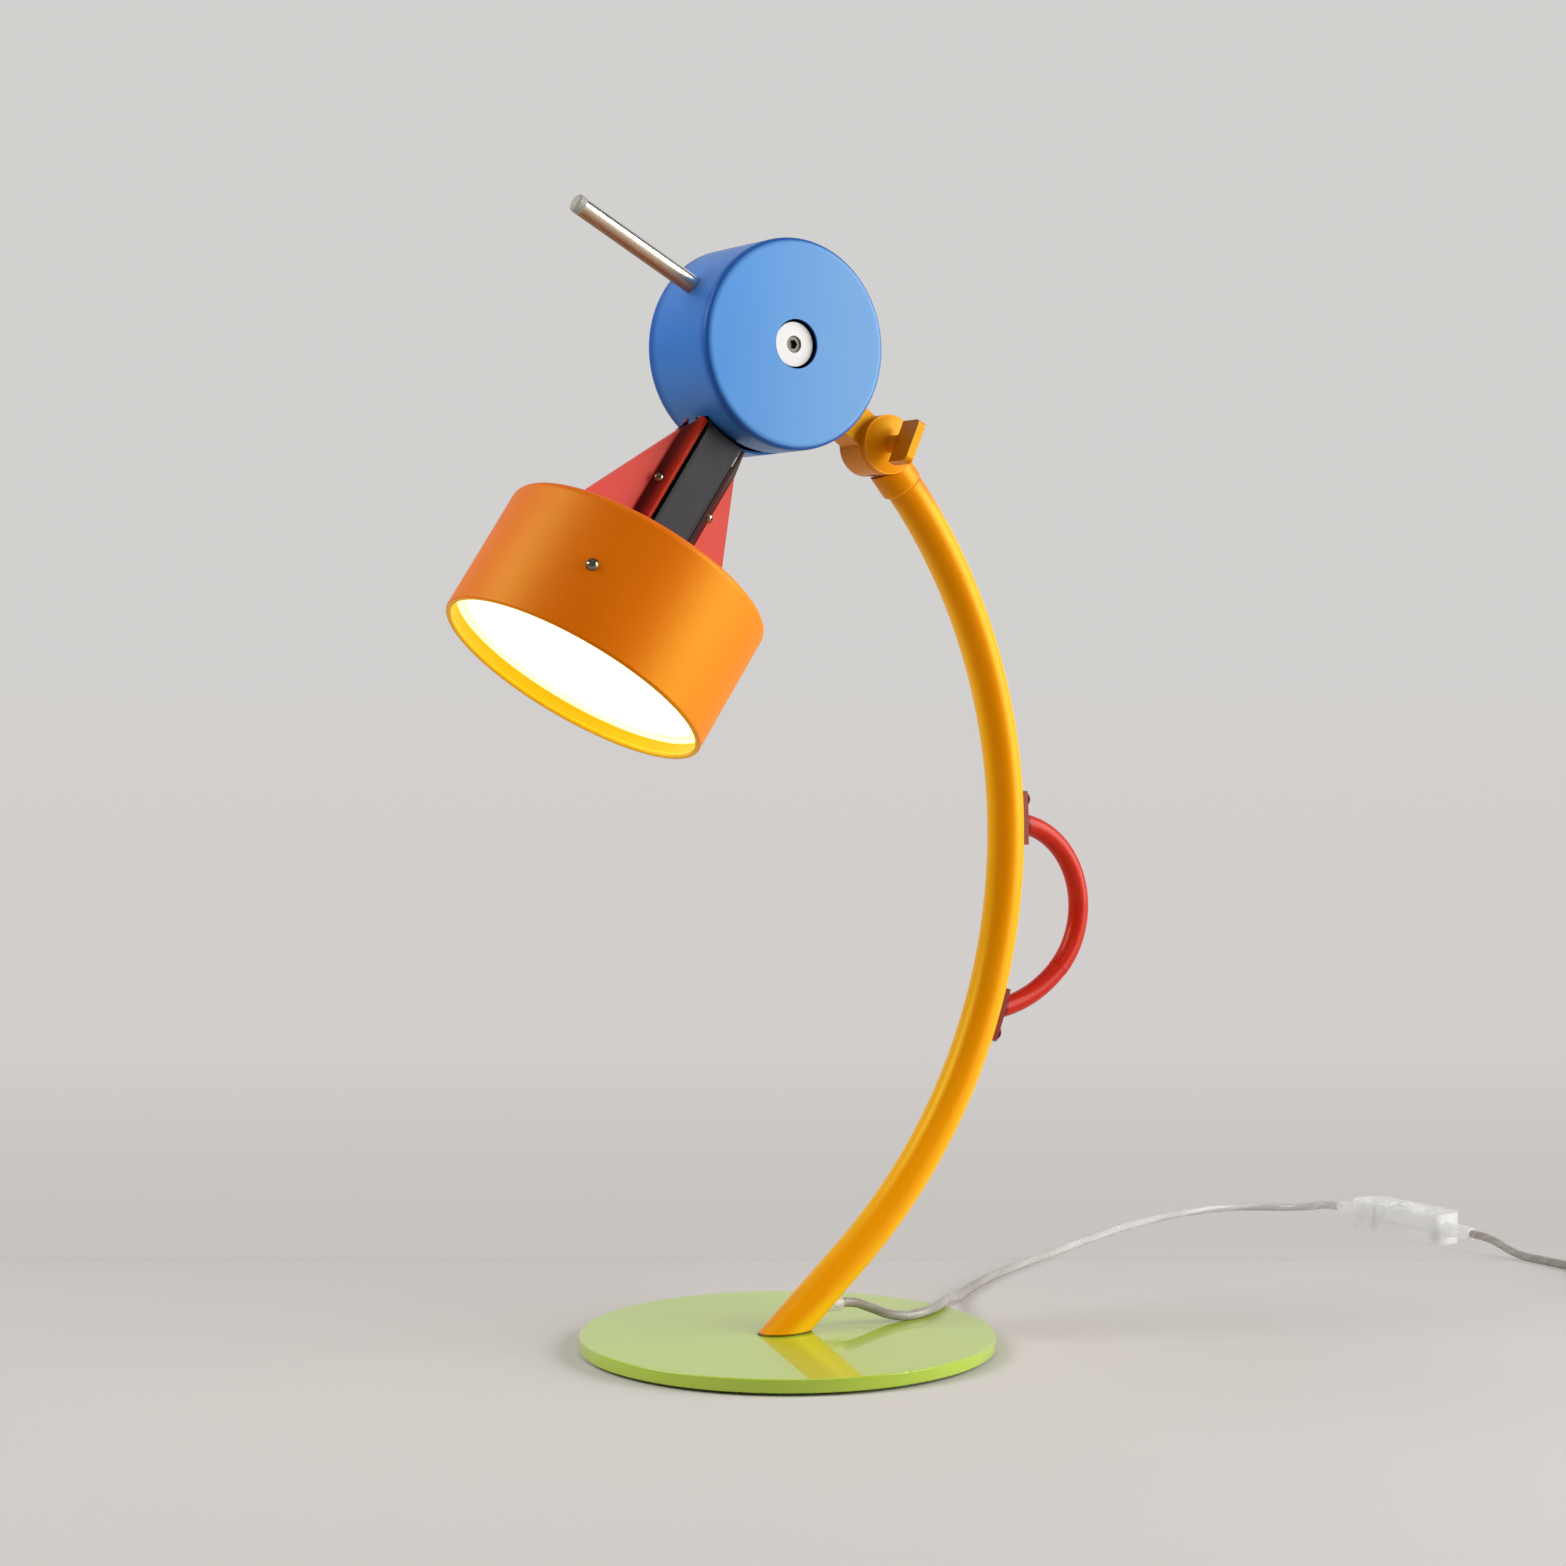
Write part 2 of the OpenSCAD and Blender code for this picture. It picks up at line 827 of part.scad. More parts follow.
module tilt_washers() {
    color("#e8e6e0")
        at(knuckle)
            for (s = [-1, 1])
                translate([0, s * (tongue_t / 2 + fit + washer_t / 2), 0])
                    difference() {
                        ycyl(tongue_d, -washer_t / 2, washer_t / 2);
                        ycyl(pivot_d + 2 * fit, -washer_t, washer_t);
                    }
}

module pivot_nut() {
    color("#8d9096")
        at(knuckle)
            difference() {
                translate([0, nut_y + seat + nut_h, 0])
                    rotate([90, 0, 0])
                        cylinder(d = nut_af / cos(30), h = nut_h, $fn = 6);
                ycyl(pivot_d + 2 * fit, -knuckle_w, knuckle_w);
            }
}

// Rod

module handle_rod() {
    color("#d9d5cf") {
        on_rod()
            xcyl(rod_stud_d, drum_r - 10, drum_r);
        difference() {
            on_rod()
                xcyl(rod_d, drum_r - 10, rod_reach - cap_l);
            on_drum()
                ycyl(drum_d + seat, -drum_w, drum_w);
            on_rod()
                xcyl(cap_spigot_d, rod_reach - 2 * cap_l - gap, rod_reach);
        }
    }
}

cap_spigot_d = 0.5 * rod_d;

module rod_cap() {
    color("#9c9a94")
        on_rod() {
            xcyl(rod_d, rod_reach - cap_l, rod_reach - 1);
            translate([rod_reach - 1, 0, 0])
                rotate([0, 90, 0])
                    cylinder(d1 = rod_d, d2 = rod_d - 2, h = 1);
            xcyl(cap_spigot_d - 2 * fit, rod_reach - 2 * cap_l, rod_reach - cap_l);
        }
}

module rod_nut() {
    flat = drum_r - drum_wall - sagitta(drum_r - drum_wall, rod_offset + rod_stud_d) - seat;
    color("#8d9096")
        on_rod()
            difference() {
                translate([flat - 5, 0, 0])
                    rotate([0, 90, 0])
                        cylinder(d = 1.85 * rod_stud_d, h = 5, $fn = 6);
                xcyl(rod_stud_d + 2 * fit, 0, drum_r);
            }
}

// Clamping knob

module wing_knob() {
    back = -knuckle_w / 2 - 0.2;
    front = back - knob_rim;
    dome_base = knuckle_r - 0.5;
    dome_r = (dome_base * dome_base + knob_dome * knob_dome) / (2 * knob_dome);
    color("#b96a0c")
        at(knuckle)
            difference() {
                union() {
                    translate([0, back, 0])
                        rotate([90, 0, 0])
                            rotate_extrude() {
                                square([knuckle_r, knob_rim]);
                                square([wing_t, knob_rim + wing_neck + 1]);
                                intersection() {
                                    translate([0, knob_rim + knob_dome - dome_r])
                                        circle(dome_r);
                                    translate([0, knob_rim / 2])
                                        square([dome_base, knob_rim + knob_dome]);
                                }
                            }
                    facing(90 - wing_lean)
                        wing(front - wing_neck);
                }
                ycyl(pivot_d + 2 * fit, front + 0.2, 0);
            }
}

// The wing lies along X and stands out towards -Y, with round corners at its tip
module wing(front) {
    corner = 3;
    linear_extrude(wing_t, center = true) {
        translate([-wing_l / 2, front - wing_out + corner])
            square([wing_l, wing_out - corner]);
        translate([-wing_l / 2 + corner, front - wing_out])
            square([wing_l - 2 * corner, corner]);
        for (s = [-1, 1])
            translate([s * (wing_l / 2 - corner), front - wing_out + corner])
                circle(corner);
    }
}

module pivot_stud() {
    front = -knuckle_w / 2 - 0.2 - knob_rim;
    color("#8d9096")
        at(knuckle)
            ycyl(pivot_d, front + 0.2 + seat, knuckle_w / 2 - gap);
}

// Swinging arm and neck

bar_step = bar_w / 2 + 1.2;
bar_step_t = 17;
bar_from = drum_r + neck_gap;
arm_eye_d = journal_d + 12;
wire_d = 5;
shell_edge = bar_step + 0.2;
shell_edge_y = bar_t / 2 - 2.1;
shell_out = bar_step + 7.6;
neck_screw_d = 3;
neck_screw_z = -94;
arm_screw_d = 4;
arm_screw_x = 6.6;

module swing_arm() {
    color("#1d1d1f")
        on_neck()
            difference() {
                union() {
                    ycyl(arm_eye_d, -arm_t / 2, arm_t / 2);
                    translate([-arm_w / 2, -arm_t / 2, -bar_from - 6])
                        cube([arm_w, arm_t, bar_from + 6]);
                    difference() {
                        translate([0, 0, -shade_top])
                            linear_extrude(shade_top - 0.7 * bar_from) {
                                square([bar_w, bar_t], center = true);
                                square([2 * bar_step, bar_step_t], center = true);
                            }
                        ycyl(2 * bar_from, -bar_t, bar_t);
                    }
                }
                ycyl(journal_d + 2 * fit, -bar_t, bar_t);
                translate([0, 0, -shade_top - 1])
                    cylinder(d = wire_d, h = shade_top - arm_eye_d / 2);
                neck_screw_places()
                    translate([0, 0, -12])
                        cylinder(d = neck_screw_d + 2 * fit, h = 13);
                translate([0, 0, -shade_top])
                    arm_screw_places()
                        translate([0, 0, -1])
                            cylinder(d = arm_screw_d + 2 * fit, h = 14);
            }
}

module swing_washers() {
    color("#e8e6e0")
        on_neck()
            for (s = [-1, 1])
                translate([0, s * (arm_t / 2 + fit + washer_t / 2), 0])
                    difference() {
                        ycyl(hub_d, -washer_t / 2, washer_t / 2);
                        ycyl(journal_d + 2 * fit, -washer_t, washer_t);
                    }
}

// One half of the bracket, seen from its end: fin, sloping wall and front edge
module shell_section() {
    skew = sheet / sin(atan2(shell_edge_y, shell_out - shell_edge));
    far = fin_top + tan(fin_angle) * neck_l + 10;
    wall_run = (shell_out - shell_edge) / shell_edge_y;
    polygon([
        [shell_out, -seat / 2],
        [far, -seat / 2],
        [far, -sheet],
        [shell_out + skew - sheet * wall_run, -sheet],
        [shell_edge + skew, -shell_edge_y],
        [shell_edge, -shell_edge_y]
    ]);
}

module neck_shell() {
    fin_end = fin_top + tan(fin_angle) * (neck_l - neck_gap);
    on_neck()
        difference() {
            intersection() {
                translate([0, 0, -shade_top])
                    linear_extrude(shade_top) {
                        shell_section();
                        mirror([1, 0])
                            shell_section();
                    }
                xz(2 * bar_t)
                    polygon([
                        [-fin_end, -shade_top],
                        [fin_end, -shade_top],
                        [fin_top, -bar_from],
                        [fin_top, -bar_from + fin_top],
                        [-fin_top, -bar_from + fin_top],
                        [-fin_top, -bar_from]
                    ]);
            }
            ycyl(2 * bar_from, -bar_t, bar_t);
        }
}

// Screws square to the sloping walls; the rear pair sits further down so that the screws pass each other
wall_tilt = atan2(shell_edge_y, shell_out - shell_edge);
wall_skew = sheet / sin(wall_tilt);

module front_screw_places(z) {
    for (s = [0, 1])
        mirror([s, 0, 0])
            translate([(shell_edge + shell_out) / 2 + wall_skew, -shell_edge_y / 2, z])
                rotate([0, 0, wall_tilt - 90])
                    rotate([0, 90, 0])
                        children();
}

module neck_screw_places() {
    front_screw_places(neck_screw_z)
        children();
    mirror([0, 1, 0])
        front_screw_places(neck_screw_z - 7)
            children();
}

module neck_front() {
    color("#d2564d")
        difference() {
            neck_shell();
            on_neck()
                front_screw_places(neck_screw_z)
                    translate([0, 0, -5])
                        cylinder(d = neck_screw_d + 2 * seat, h = 10);
        }
}

module neck_rear() {
    color("#d2564d")
        difference() {
            mirror([0, 1, 0])
                neck_shell();
            on_neck()
                mirror([0, 1, 0])
                    front_screw_places(neck_screw_z - 7)
                        translate([0, 0, -5])
                            cylinder(d = neck_screw_d + 2 * seat, h = 10);
        }
}

module neck_screws() {
    color("#b9b3a6")
        on_neck()
            neck_screw_places()
                translate([0, 0, seat])
                    screw(neck_screw_d, 11, 5.4, 2);
}

module arm_screw_places() {
    for (s = [-1, 1])
        translate([s * arm_screw_x, 0, 0])
            children();
}

module arm_screws() {
    color("#8d9096")
        on_shade()
            arm_screw_places()
                translate([0, 0, -shade_wall - seat])
                    rotate([180, 0, 0])
                        screw(arm_screw_d, shade_wall + 11, 8, 2.6);
}

// Shade and light

rim_d = 3;
shade_screw_d = 4;
shade_screw_turn = -130.5;
inner_r = shade_r - shade_wall;
plate_low = plate_set + plate_t;
plate_web = 2.5;
plate_rim = 8;
diffuser_low = shade_l - diffuser_set;
board_t = 1.6;

module shade_screw_places() {
    translate([0, 0, -plate_set - plate_t / 2])
        for (i = [0 : 2])
            rotate(shade_screw_turn + 120 * i)
                translate([shade_r, 0, 0])
                    rotate([0, 90, 0])
                        children();
}

module shade_can() {
    color("#e08416")
        on_shade()
            difference() {
                rotate_extrude() {
                    difference() {
                        cup_outline(shade_r, shade_l - rim_d / 2, shade_round);
                        translate([0, -shade_wall])
                            cup_outline(inner_r, shade_l, shade_round - shade_wall);
                    }
                    translate([shade_r - rim_d / 2, -shade_l + rim_d / 2])
                        circle(d = rim_d);
                }
                translate([0, 0, -shade_wall - 1])
                    cylinder(d = wire_d, h = shade_wall + 2);
                arm_screw_places()
                    translate([0, 0, -shade_wall - 1])
                        cylinder(d = arm_screw_d + 2 * fit, h = shade_wall + 2);
                shade_screw_places()
                    translate([0, 0, -2 * shade_wall])
                        cylinder(d = shade_screw_d + 2 * fit, h = 4 * shade_wall);
            }
}

module shade_screws() {
    color("#c9c4b8")
        on_shade()
            shade_screw_places()
                translate([0, 0, seat])
                    screw(shade_screw_d, 9, 6.6, 2.4);
}

module light_plate() {
    color("#b9bcc0")
        on_shade()
            difference() {
                translate([0, 0, -plate_low])
                    cylinder(r = inner_r - seat, h = plate_t);
                translate([0, 0, -plate_low + plate_web])
                    cylinder(r = inner_r - seat - plate_rim, h = plate_t);
                shade_screw_places()
                    translate([0, 0, -12])
                        cylinder(d = shade_screw_d + 2 * fit, h = 13);
                translate([0, 0, -plate_low - 1])
                    cylinder(d = wire_d, h = plate_t + 2);
            }
}

module driver_box() {
    color("#2b2a2a")
        on_shade()
            translate([34, 0, -plate_low + plate_web + seat / 2])
                round_box([30, 54, plate_set - shade_wall - 12], 4);
}

module led_board() {
    color("#f2f2ee")
        on_shade() {
            translate([0, 0, -plate_low - board_t])
                ring(2 * inner_r - 10, wire_d, board_t);
            for (i = [0 : 11])
                rotate(30 * i)
                    translate([0.6 * inner_r, 0, -plate_low - board_t - 1])
                        cylinder(d = 7, h = 1.4);
        }
}

module light_sleeve() {
    sleeve_l = diffuser_low - diffuser_t - plate_low - 2 * seat;
    color("#f4f4f0")
        on_shade()
            translate([0, 0, -diffuser_low + diffuser_t + seat])
                ring(2 * (inner_r - seat), 2 * inner_r - 7, sleeve_l);
}

module diffuser() {
    color("#fbfaf4")
        on_shade()
            translate([0, 0, -diffuser_low])
                cylinder(r = inner_r - seat, h = diffuser_t);
}

module snap_ring() {
    wire = 1.4;
    color("#d2912c")
        on_shade()
            translate([0, 0, -diffuser_low - seat - wire / 2])
                rotate_extrude()
                    translate([inner_r - seat - wire / 2, 0])
                        circle(d = wire);
}

// Cord: the lead from the stem to the switch, the tail from the switch, and the coil that is put away
cord_z = cord_d / 2 + 0.1;
on_base = base_top + cord_z;
switch_mid = [500, 60, 0];
relief_l = 20;
relief_end_d = cord_d + 2.4;
relief_root_d = 10;
entry_z = switch_h / 2;
lead_route = [
    [exit_x - bush_face, 0, exit_z], [36, 0, exit_z], [43, -1, 19], [50, -4, 16.2], [58, -8, 12.8],
    [67, -10, on_base], [78, -9, on_base], [90, -4, on_base], [101, 4, on_base], [112, 14, 10.4],
    [124, 26, 7.6], [137, 39, 4.4],
    [152, 53, cord_z], [172, 69, cord_z], [196, 85, cord_z], [222, 99, cord_z], [250, 113, cord_z],
    [280, 128, cord_z], [310, 143, cord_z], [340, 157, cord_z], [370, 170, cord_z], [400, 180, cord_z],
    [427, 186, cord_z], [450, 188, cord_z], [470, 185, cord_z], [485, 176, cord_z], [495, 162, 3.4],
    [499, 147, 5.6], [500, 134, 8.4], [500, 125, entry_z],
    [500, switch_mid.y + switch_l / 2 + relief_l + seat, entry_z]
];
coil_z = 3.5;
coil_step = cord_d + 0.6;
coil_pitch = cord_d + 0.7;
coil_turns = 6;
coil_in = 21;
coil_out = coil_in + coil_pitch * coil_turns / 2;
coil_mid = [500 + coil_out, -110, 0];
tail_route = [
    [500, switch_mid.y - switch_l / 2 - relief_l - seat, entry_z], [500, -5, entry_z], [500, -16, 8],
    [500, -28, 4.6], [500, -40, cord_z], [500, -54, cord_z], [500, -68, cord_z], [500, -82, 3.2],
    [500, -94, coil_z], [500, coil_mid.y + cord_d + seat, coil_z]
];

// The straight end of the coil, which clears the loops before the plug
coil_end = 18;

// Coil: a spiral in on the lower layer and out on the upper one, which climbs in the half turn between them
coil_rings = 24;
function climb(t) = let (u = max(0, min(1, t + 0.5))) u * u * (3 - 2 * u);
function coil_point(turn) =
    let (from_mid = turn - coil_turns / 2,
         r = coil_in + coil_pitch * abs(from_mid),
         a = 180 + 360 * turn)
    coil_mid + [r * cos(a), r * sin(a), coil_z + coil_step * climb(2 * from_mid)];
coil_path = concat(
    [coil_mid + [-coil_out, cord_d, coil_z]],
    [for (i = [0 : coil_turns * coil_rings]) coil_point(i / coil_rings)],
    [for (l = [coil_end / 2, coil_end]) coil_mid + [-coil_out, -l, coil_z + coil_step]]
);
coil_gap = min([for (i = [0 : len(coil_path) - 1], j = [i + coil_rings / 2 : len(coil_path) - 1])
    norm(coil_path[i] - coil_path[j])]) - cord_d;

module cord_lead() {
    color("#d6d2cc")
        tube(smooth(lead_route, 2), cord_d, 8);
}

module cord_tail() {
    color("#d6d2cc")
        tube(smooth(tail_route, 2), cord_d, 8);
}

module cord_coil() {
    color("#d6d2cc")
        tube(coil_path, cord_d, 6);
    echo(coil_gap = coil_gap);
    echo(cord_length = path_length(smooth(lead_route, 2)) + path_length(smooth(tail_route, 2))
        + path_length(coil_path));
}

module cord_tie() {
    band = 0.7;
    tie_w = 7;
    inside = [coil_out - coil_in + cord_d + 1, coil_step + cord_d + 0.8];
    middle = (coil_out + coil_in) / 2;
    color("#d8d5d0")
        at(coil_mid + [middle, 0, coil_z + coil_step / 2])
            xz(tie_w)
                difference() {
                    square(inside + [2 * band, 2 * band], center = true);
                    square(inside, center = true);
                }
}

// Switch on the cord

switch_split = switch_h / 2;
switch_corner = 8;
switch_screw_d = 3;
switch_screw_y = 27;
rocker_l = 22;
rocker_w = 11;
rocker_pin_d = 2.5;
rocker_z = switch_h - 4.6;
rib_t = 2;

module on_switch() {
    at(switch_mid)
        children();
}

module switch_screw_places() {
    for (s = [-1, 1])
        translate([0, s * switch_screw_y, 0])
            children();
}

module switch_half(z0, z1) {
    translate([0, 0, z0])
        round_box([switch_w, switch_l, z1 - z0], switch_corner);
}

module switch_hollow(z0, z1) {
    translate([0, 0, z0])
        round_box([switch_w - 2 * switch_wall, switch_l - 2 * switch_wall, z1 - z0],
            switch_corner - switch_wall);
}

module switch_base() {
    color("#dedbd4")
        on_switch()
            difference() {
                union() {
                    difference() {
                        switch_half(0, switch_split);
                        switch_hollow(switch_wall, switch_split + 1);
                    }
                    switch_screw_places()
                        cylinder(d = 8, h = switch_split);
                }
                switch_screw_places() {
                    translate([0, 0, -1])
                        cylinder(d = switch_screw_d + 2 * fit, h = switch_h);
                    translate([0, 0, -1])
                        cylinder(d = 6.4, h = 4);
                }
            }
}

module switch_cover() {
    top = switch_h - switch_wall;
    color("#e4e1da")
        on_switch()
            difference() {
                union() {
                    difference() {
                        switch_half(switch_split, switch_h);
                        switch_hollow(switch_split - 1, top);
                    }
                    switch_screw_places()
                        translate([0, 0, switch_split])
                            cylinder(d = 8, h = top - switch_split + 0.5);
                    for (s = [-1, 1])
                        translate([s * (rocker_w / 2 + gap + rib_t / 2), 0, top - 2.5 + 0.25])
                            cube([rib_t, 8, 5.5], center = true);
                }
                translate([0, 0, switch_h])
                    cube([rocker_w + 2 * gap, rocker_l + 4 * gap, 4 * switch_wall], center = true);
                translate([0, 0, rocker_z])
                    xcyl(rocker_pin_d + 2 * fit, -rocker_w / 2 - gap - rib_t, rocker_w / 2 + gap + rib_t);
                switch_screw_places()
                    cylinder(d = switch_screw_d + 2 * fit, h = switch_h - 4);
            }
}

module switch_screws() {
    color("#a9a59b")
        on_switch()
            switch_screw_places()
                translate([0, 0, 3 - seat])
                    rotate([180, 0, 0])
                        screw(switch_screw_d, switch_h - 8, 5.6, 2);
}

module switch_reliefs() {
    color("#dedbd4")
        on_switch()
            for (s = [0, 180])
                rotate(s)
                    translate([0, switch_l / 2, entry_z])
                        rotate([-90, 0, 0])
                            cylinder(d1 = relief_root_d, d2 = relief_end_d, h = relief_l);
}

module switch_rocker() {
    half = rocker_l / 2;
    pin_end = rocker_w / 2 + gap + rib_t - seat;
    color("#f0eee8")
        on_switch()
            translate([0, 0, rocker_z])
                rotate([-rocker_travel / 2, 0, 0]) {
                    rotate([90, 0, 90])
                        linear_extrude(rocker_w, center = true)
                            polygon([[-half, -1.5], [half, -1.5], [half, 3.2], [0, 6], [-half, 3.2]]);
                    xcyl(rocker_pin_d, -pin_end, pin_end);
                }
}

// Plug at the end of the coil

plug_z = coil_z + coil_step;
plug_face = coil_mid.y - coil_end - seat;
pin_d = 4;
pin_l = 19;
pin_apart = 19;

module plug_relief() {
    color("#d2cec6")
        translate([500, plug_face, plug_z])
            rotate([90, 0, 0])
                cylinder(d1 = relief_end_d, d2 = relief_root_d + 1, h = relief_l + 4);
}

module plug_body() {
    h = 2 * plug_z - 0.4;
    color("#dedbd4")
        translate([500, plug_face - relief_l - 4 - mains_plug_l / 2, 0.2])
            difference() {
                round_box([mains_plug_w, mains_plug_l, h], 6);
                for (s = [-1, 1])
                    translate([s * pin_apart / 2, -mains_plug_l / 2 + 8, h / 2])
                        rotate([90, 0, 0])
                            cylinder(d = pin_d + 2 * fit, h = 9);
            }
}

module plug_pins() {
    color("#b9b3a6")
        for (s = [-1, 1])
            translate([500 + s * pin_apart / 2, plug_face - relief_l - 4 - mains_plug_l + 8 - seat, plug_z])
                rotate([90, 0, 0])
                    cylinder(d = pin_d, h = pin_l + 8);
}

base_pad();
base_plate();
base_bolt();
foot_plug();
stem_tube();
stem_head();
stem_lead();
cord_bush();
grab_handle();
handle_screws();
cord_lead();
switch_base();
switch_cover();
switch_screws();
switch_reliefs();
switch_rocker();
cord_tail();
cord_coil();
cord_tie();
plug_relief();
plug_body();
plug_pins();
drum_shell();
drum_back();
back_screws();
eye_hub();
hub_spacer();
axle_bolt();
axle_nut();
drum_lug();
lug_screws();
tilt_washers();
pivot_nut();
handle_rod();
rod_cap();
rod_nut();
wing_knob();
pivot_stud();
swing_arm();
swing_washers();
neck_front();
neck_rear();
neck_screws();
arm_screws();
shade_can();
shade_screws();
light_plate();
driver_box();
led_board();
light_sleeve();
diffuser();
snap_ring();
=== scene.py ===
# %% [markdown]
# A table lamp: a green round base, a bent amber stem with a red grab handle, a blue drum that tilts on a
# knuckle, and a red neck that carries an orange shade. The solid model holds every rigid piece at its
# true size, so this script only dresses it: cords, finishes, light and camera.

# %% Load the solid model as the fixed frame
import math

import bmesh
import bpy
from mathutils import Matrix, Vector


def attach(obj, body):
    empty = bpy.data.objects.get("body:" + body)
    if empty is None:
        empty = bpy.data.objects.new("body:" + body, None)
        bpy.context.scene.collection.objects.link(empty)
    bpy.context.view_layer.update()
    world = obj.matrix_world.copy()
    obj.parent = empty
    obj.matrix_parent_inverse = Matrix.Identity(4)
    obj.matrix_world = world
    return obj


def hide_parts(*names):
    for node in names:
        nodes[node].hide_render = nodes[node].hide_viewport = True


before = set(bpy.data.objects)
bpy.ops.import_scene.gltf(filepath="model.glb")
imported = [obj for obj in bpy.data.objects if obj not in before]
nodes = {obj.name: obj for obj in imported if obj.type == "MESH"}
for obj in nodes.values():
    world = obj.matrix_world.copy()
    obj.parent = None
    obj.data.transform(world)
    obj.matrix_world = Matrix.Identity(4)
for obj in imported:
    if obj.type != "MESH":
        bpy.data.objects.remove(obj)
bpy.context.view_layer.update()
scene = bpy.context.scene
scene.view_settings.view_transform = "Standard"

# %% [markdown]
# The camera stands to the lamp's left front, about 1.6 m away and 0.34 m up. Its turn, distance, height
# and focal length were fitted to outlines in the picture. The pixel of the frame's origin then says how
# far the camera is panned and tipped, so that no shift is needed.

# %% Camera
IMAGE_PX = 1566
FOCAL_PX = 3040.6
FOOT_PX = Vector((787.2, 1348.2))
SENSOR_MM = 36
CAMERA_TURN = math.radians(-33.13)
CAMERA_DISTANCE = 1.5671
CAMERA_HEIGHT = 0.3447

off_centre = FOOT_PX - Vector((IMAGE_PX / 2, IMAGE_PX / 2))
eye = Vector((
    CAMERA_DISTANCE * math.sin(CAMERA_TURN),
    -CAMERA_DISTANCE * math.cos(CAMERA_TURN),
    CAMERA_HEIGHT,
))
down = math.atan2(CAMERA_HEIGHT, CAMERA_DISTANCE)
pitch = math.atan(off_centre.y / FOCAL_PX) - down
yaw = math.atan2(-eye.x, -eye.y) - math.atan(off_centre.x / FOCAL_PX) / math.cos(down)
ahead = Vector((math.sin(yaw), math.cos(yaw), 0))
aside = Vector((math.cos(yaw), -math.sin(yaw), 0))
look = ahead * math.cos(pitch) + Vector((0, 0, math.sin(pitch)))

camera_data = bpy.data.cameras.new("camera")
camera_data.sensor_width = SENSOR_MM
camera_data.lens = SENSOR_MM * FOCAL_PX / IMAGE_PX
camera = bpy.data.objects.new("camera", camera_data)
camera.location = eye
camera.rotation_euler = look.to_track_quat("-Z", "Y").to_euler()
scene.collection.objects.link(camera)
scene.camera = camera
print("lens", round(camera_data.lens, 2), "mm, looking along", [round(c, 3) for c in look])

# %% [markdown]
# The lamp's lead is a round clear cord 5 mm thick. It leaves the stem near the foot, drops to the base,
# goes over the rim and runs along the table to an inline switch. From there its tail runs on to a coil of
# spare cord and a plug. The points are chosen where a real cord would bend.

# %% Route of the cord
CORD_D = 0.005
LEAD_ROUTE = [
    (0.030, 0.000, 0.0200), (0.036, 0.000, 0.0200), (0.043, -0.001, 0.0190), (0.050, -0.004, 0.0162),
    (0.058, -0.008, 0.0128), (0.067, -0.010, 0.0111), (0.078, -0.009, 0.0111), (0.090, -0.004, 0.0111),
    (0.101, 0.004, 0.0111), (0.112, 0.014, 0.0104), (0.124, 0.026, 0.0076), (0.137, 0.039, 0.0044),
    (0.152, 0.053, 0.0026), (0.172, 0.069, 0.0026), (0.196, 0.085, 0.0026), (0.222, 0.099, 0.0026),
    (0.250, 0.113, 0.0026), (0.280, 0.128, 0.0026), (0.310, 0.143, 0.0026), (0.340, 0.157, 0.0026),
    (0.370, 0.170, 0.0026), (0.400, 0.180, 0.0026), (0.427, 0.186, 0.0026), (0.450, 0.188, 0.0026),
    (0.470, 0.185, 0.0026), (0.485, 0.176, 0.0026), (0.495, 0.162, 0.0034), (0.499, 0.147, 0.0056),
    (0.500, 0.134, 0.0084), (0.500, 0.125, 0.0095), (0.500, 0.1171, 0.0095),
]
TAIL_ROUTE = [
    (0.500, 0.0029, 0.0095), (0.500, -0.005, 0.0095), (0.500, -0.016, 0.0080), (0.500, -0.028, 0.0046),
    (0.500, -0.040, 0.0026), (0.500, -0.054, 0.0026), (0.500, -0.068, 0.0026), (0.500, -0.082, 0.0032),
    (0.500, -0.094, 0.0035), (0.500, -0.1049, 0.0035),
]
print(len(LEAD_ROUTE), "points to the switch,", len(TAIL_ROUTE), "more to the coil")

# %% [markdown]
# A smooth curve is drawn through the points, so that the cord never kinks at one. Each stretch between
# two points is a cubic that takes its slopes from the points on either side, so no handles have to be
# set. The spare cord is wound in two flat layers, one on the other, so that it goes in and comes out at
# the coil's rim.

# %% Smooth line and coil
STRETCH_STEPS = 6
COIL_MID = (0.5381, -0.110)
COIL_INNER = 0.021
COIL_STEP = 0.0057
COIL_LOW = 0.0035
COIL_LIFT = 0.0056
COIL_TURNS = 6
COIL_RISE = 0.5
TURN_STEPS = 24
COIL_END_Y = (-0.119, -0.128)


def smooth_route(points):
    """Points of a smooth curve that passes through every given point."""
    points = [Vector(p) for p in points]
    ends = [2 * points[0] - points[1], *points, 2 * points[-1] - points[-2]]
    line = []
    for a, b, c, d in zip(ends, ends[1:], ends[2:], ends[3:]):
        for k in range(STRETCH_STEPS):
            t = k / STRETCH_STEPS
            line.append(0.5 * (2 * b + (c - a) * t + (2 * a - 5 * b + 4 * c - d) * t ** 2
                               + (3 * b - a - 3 * c + d) * t ** 3))
    return line + [points[-1]]


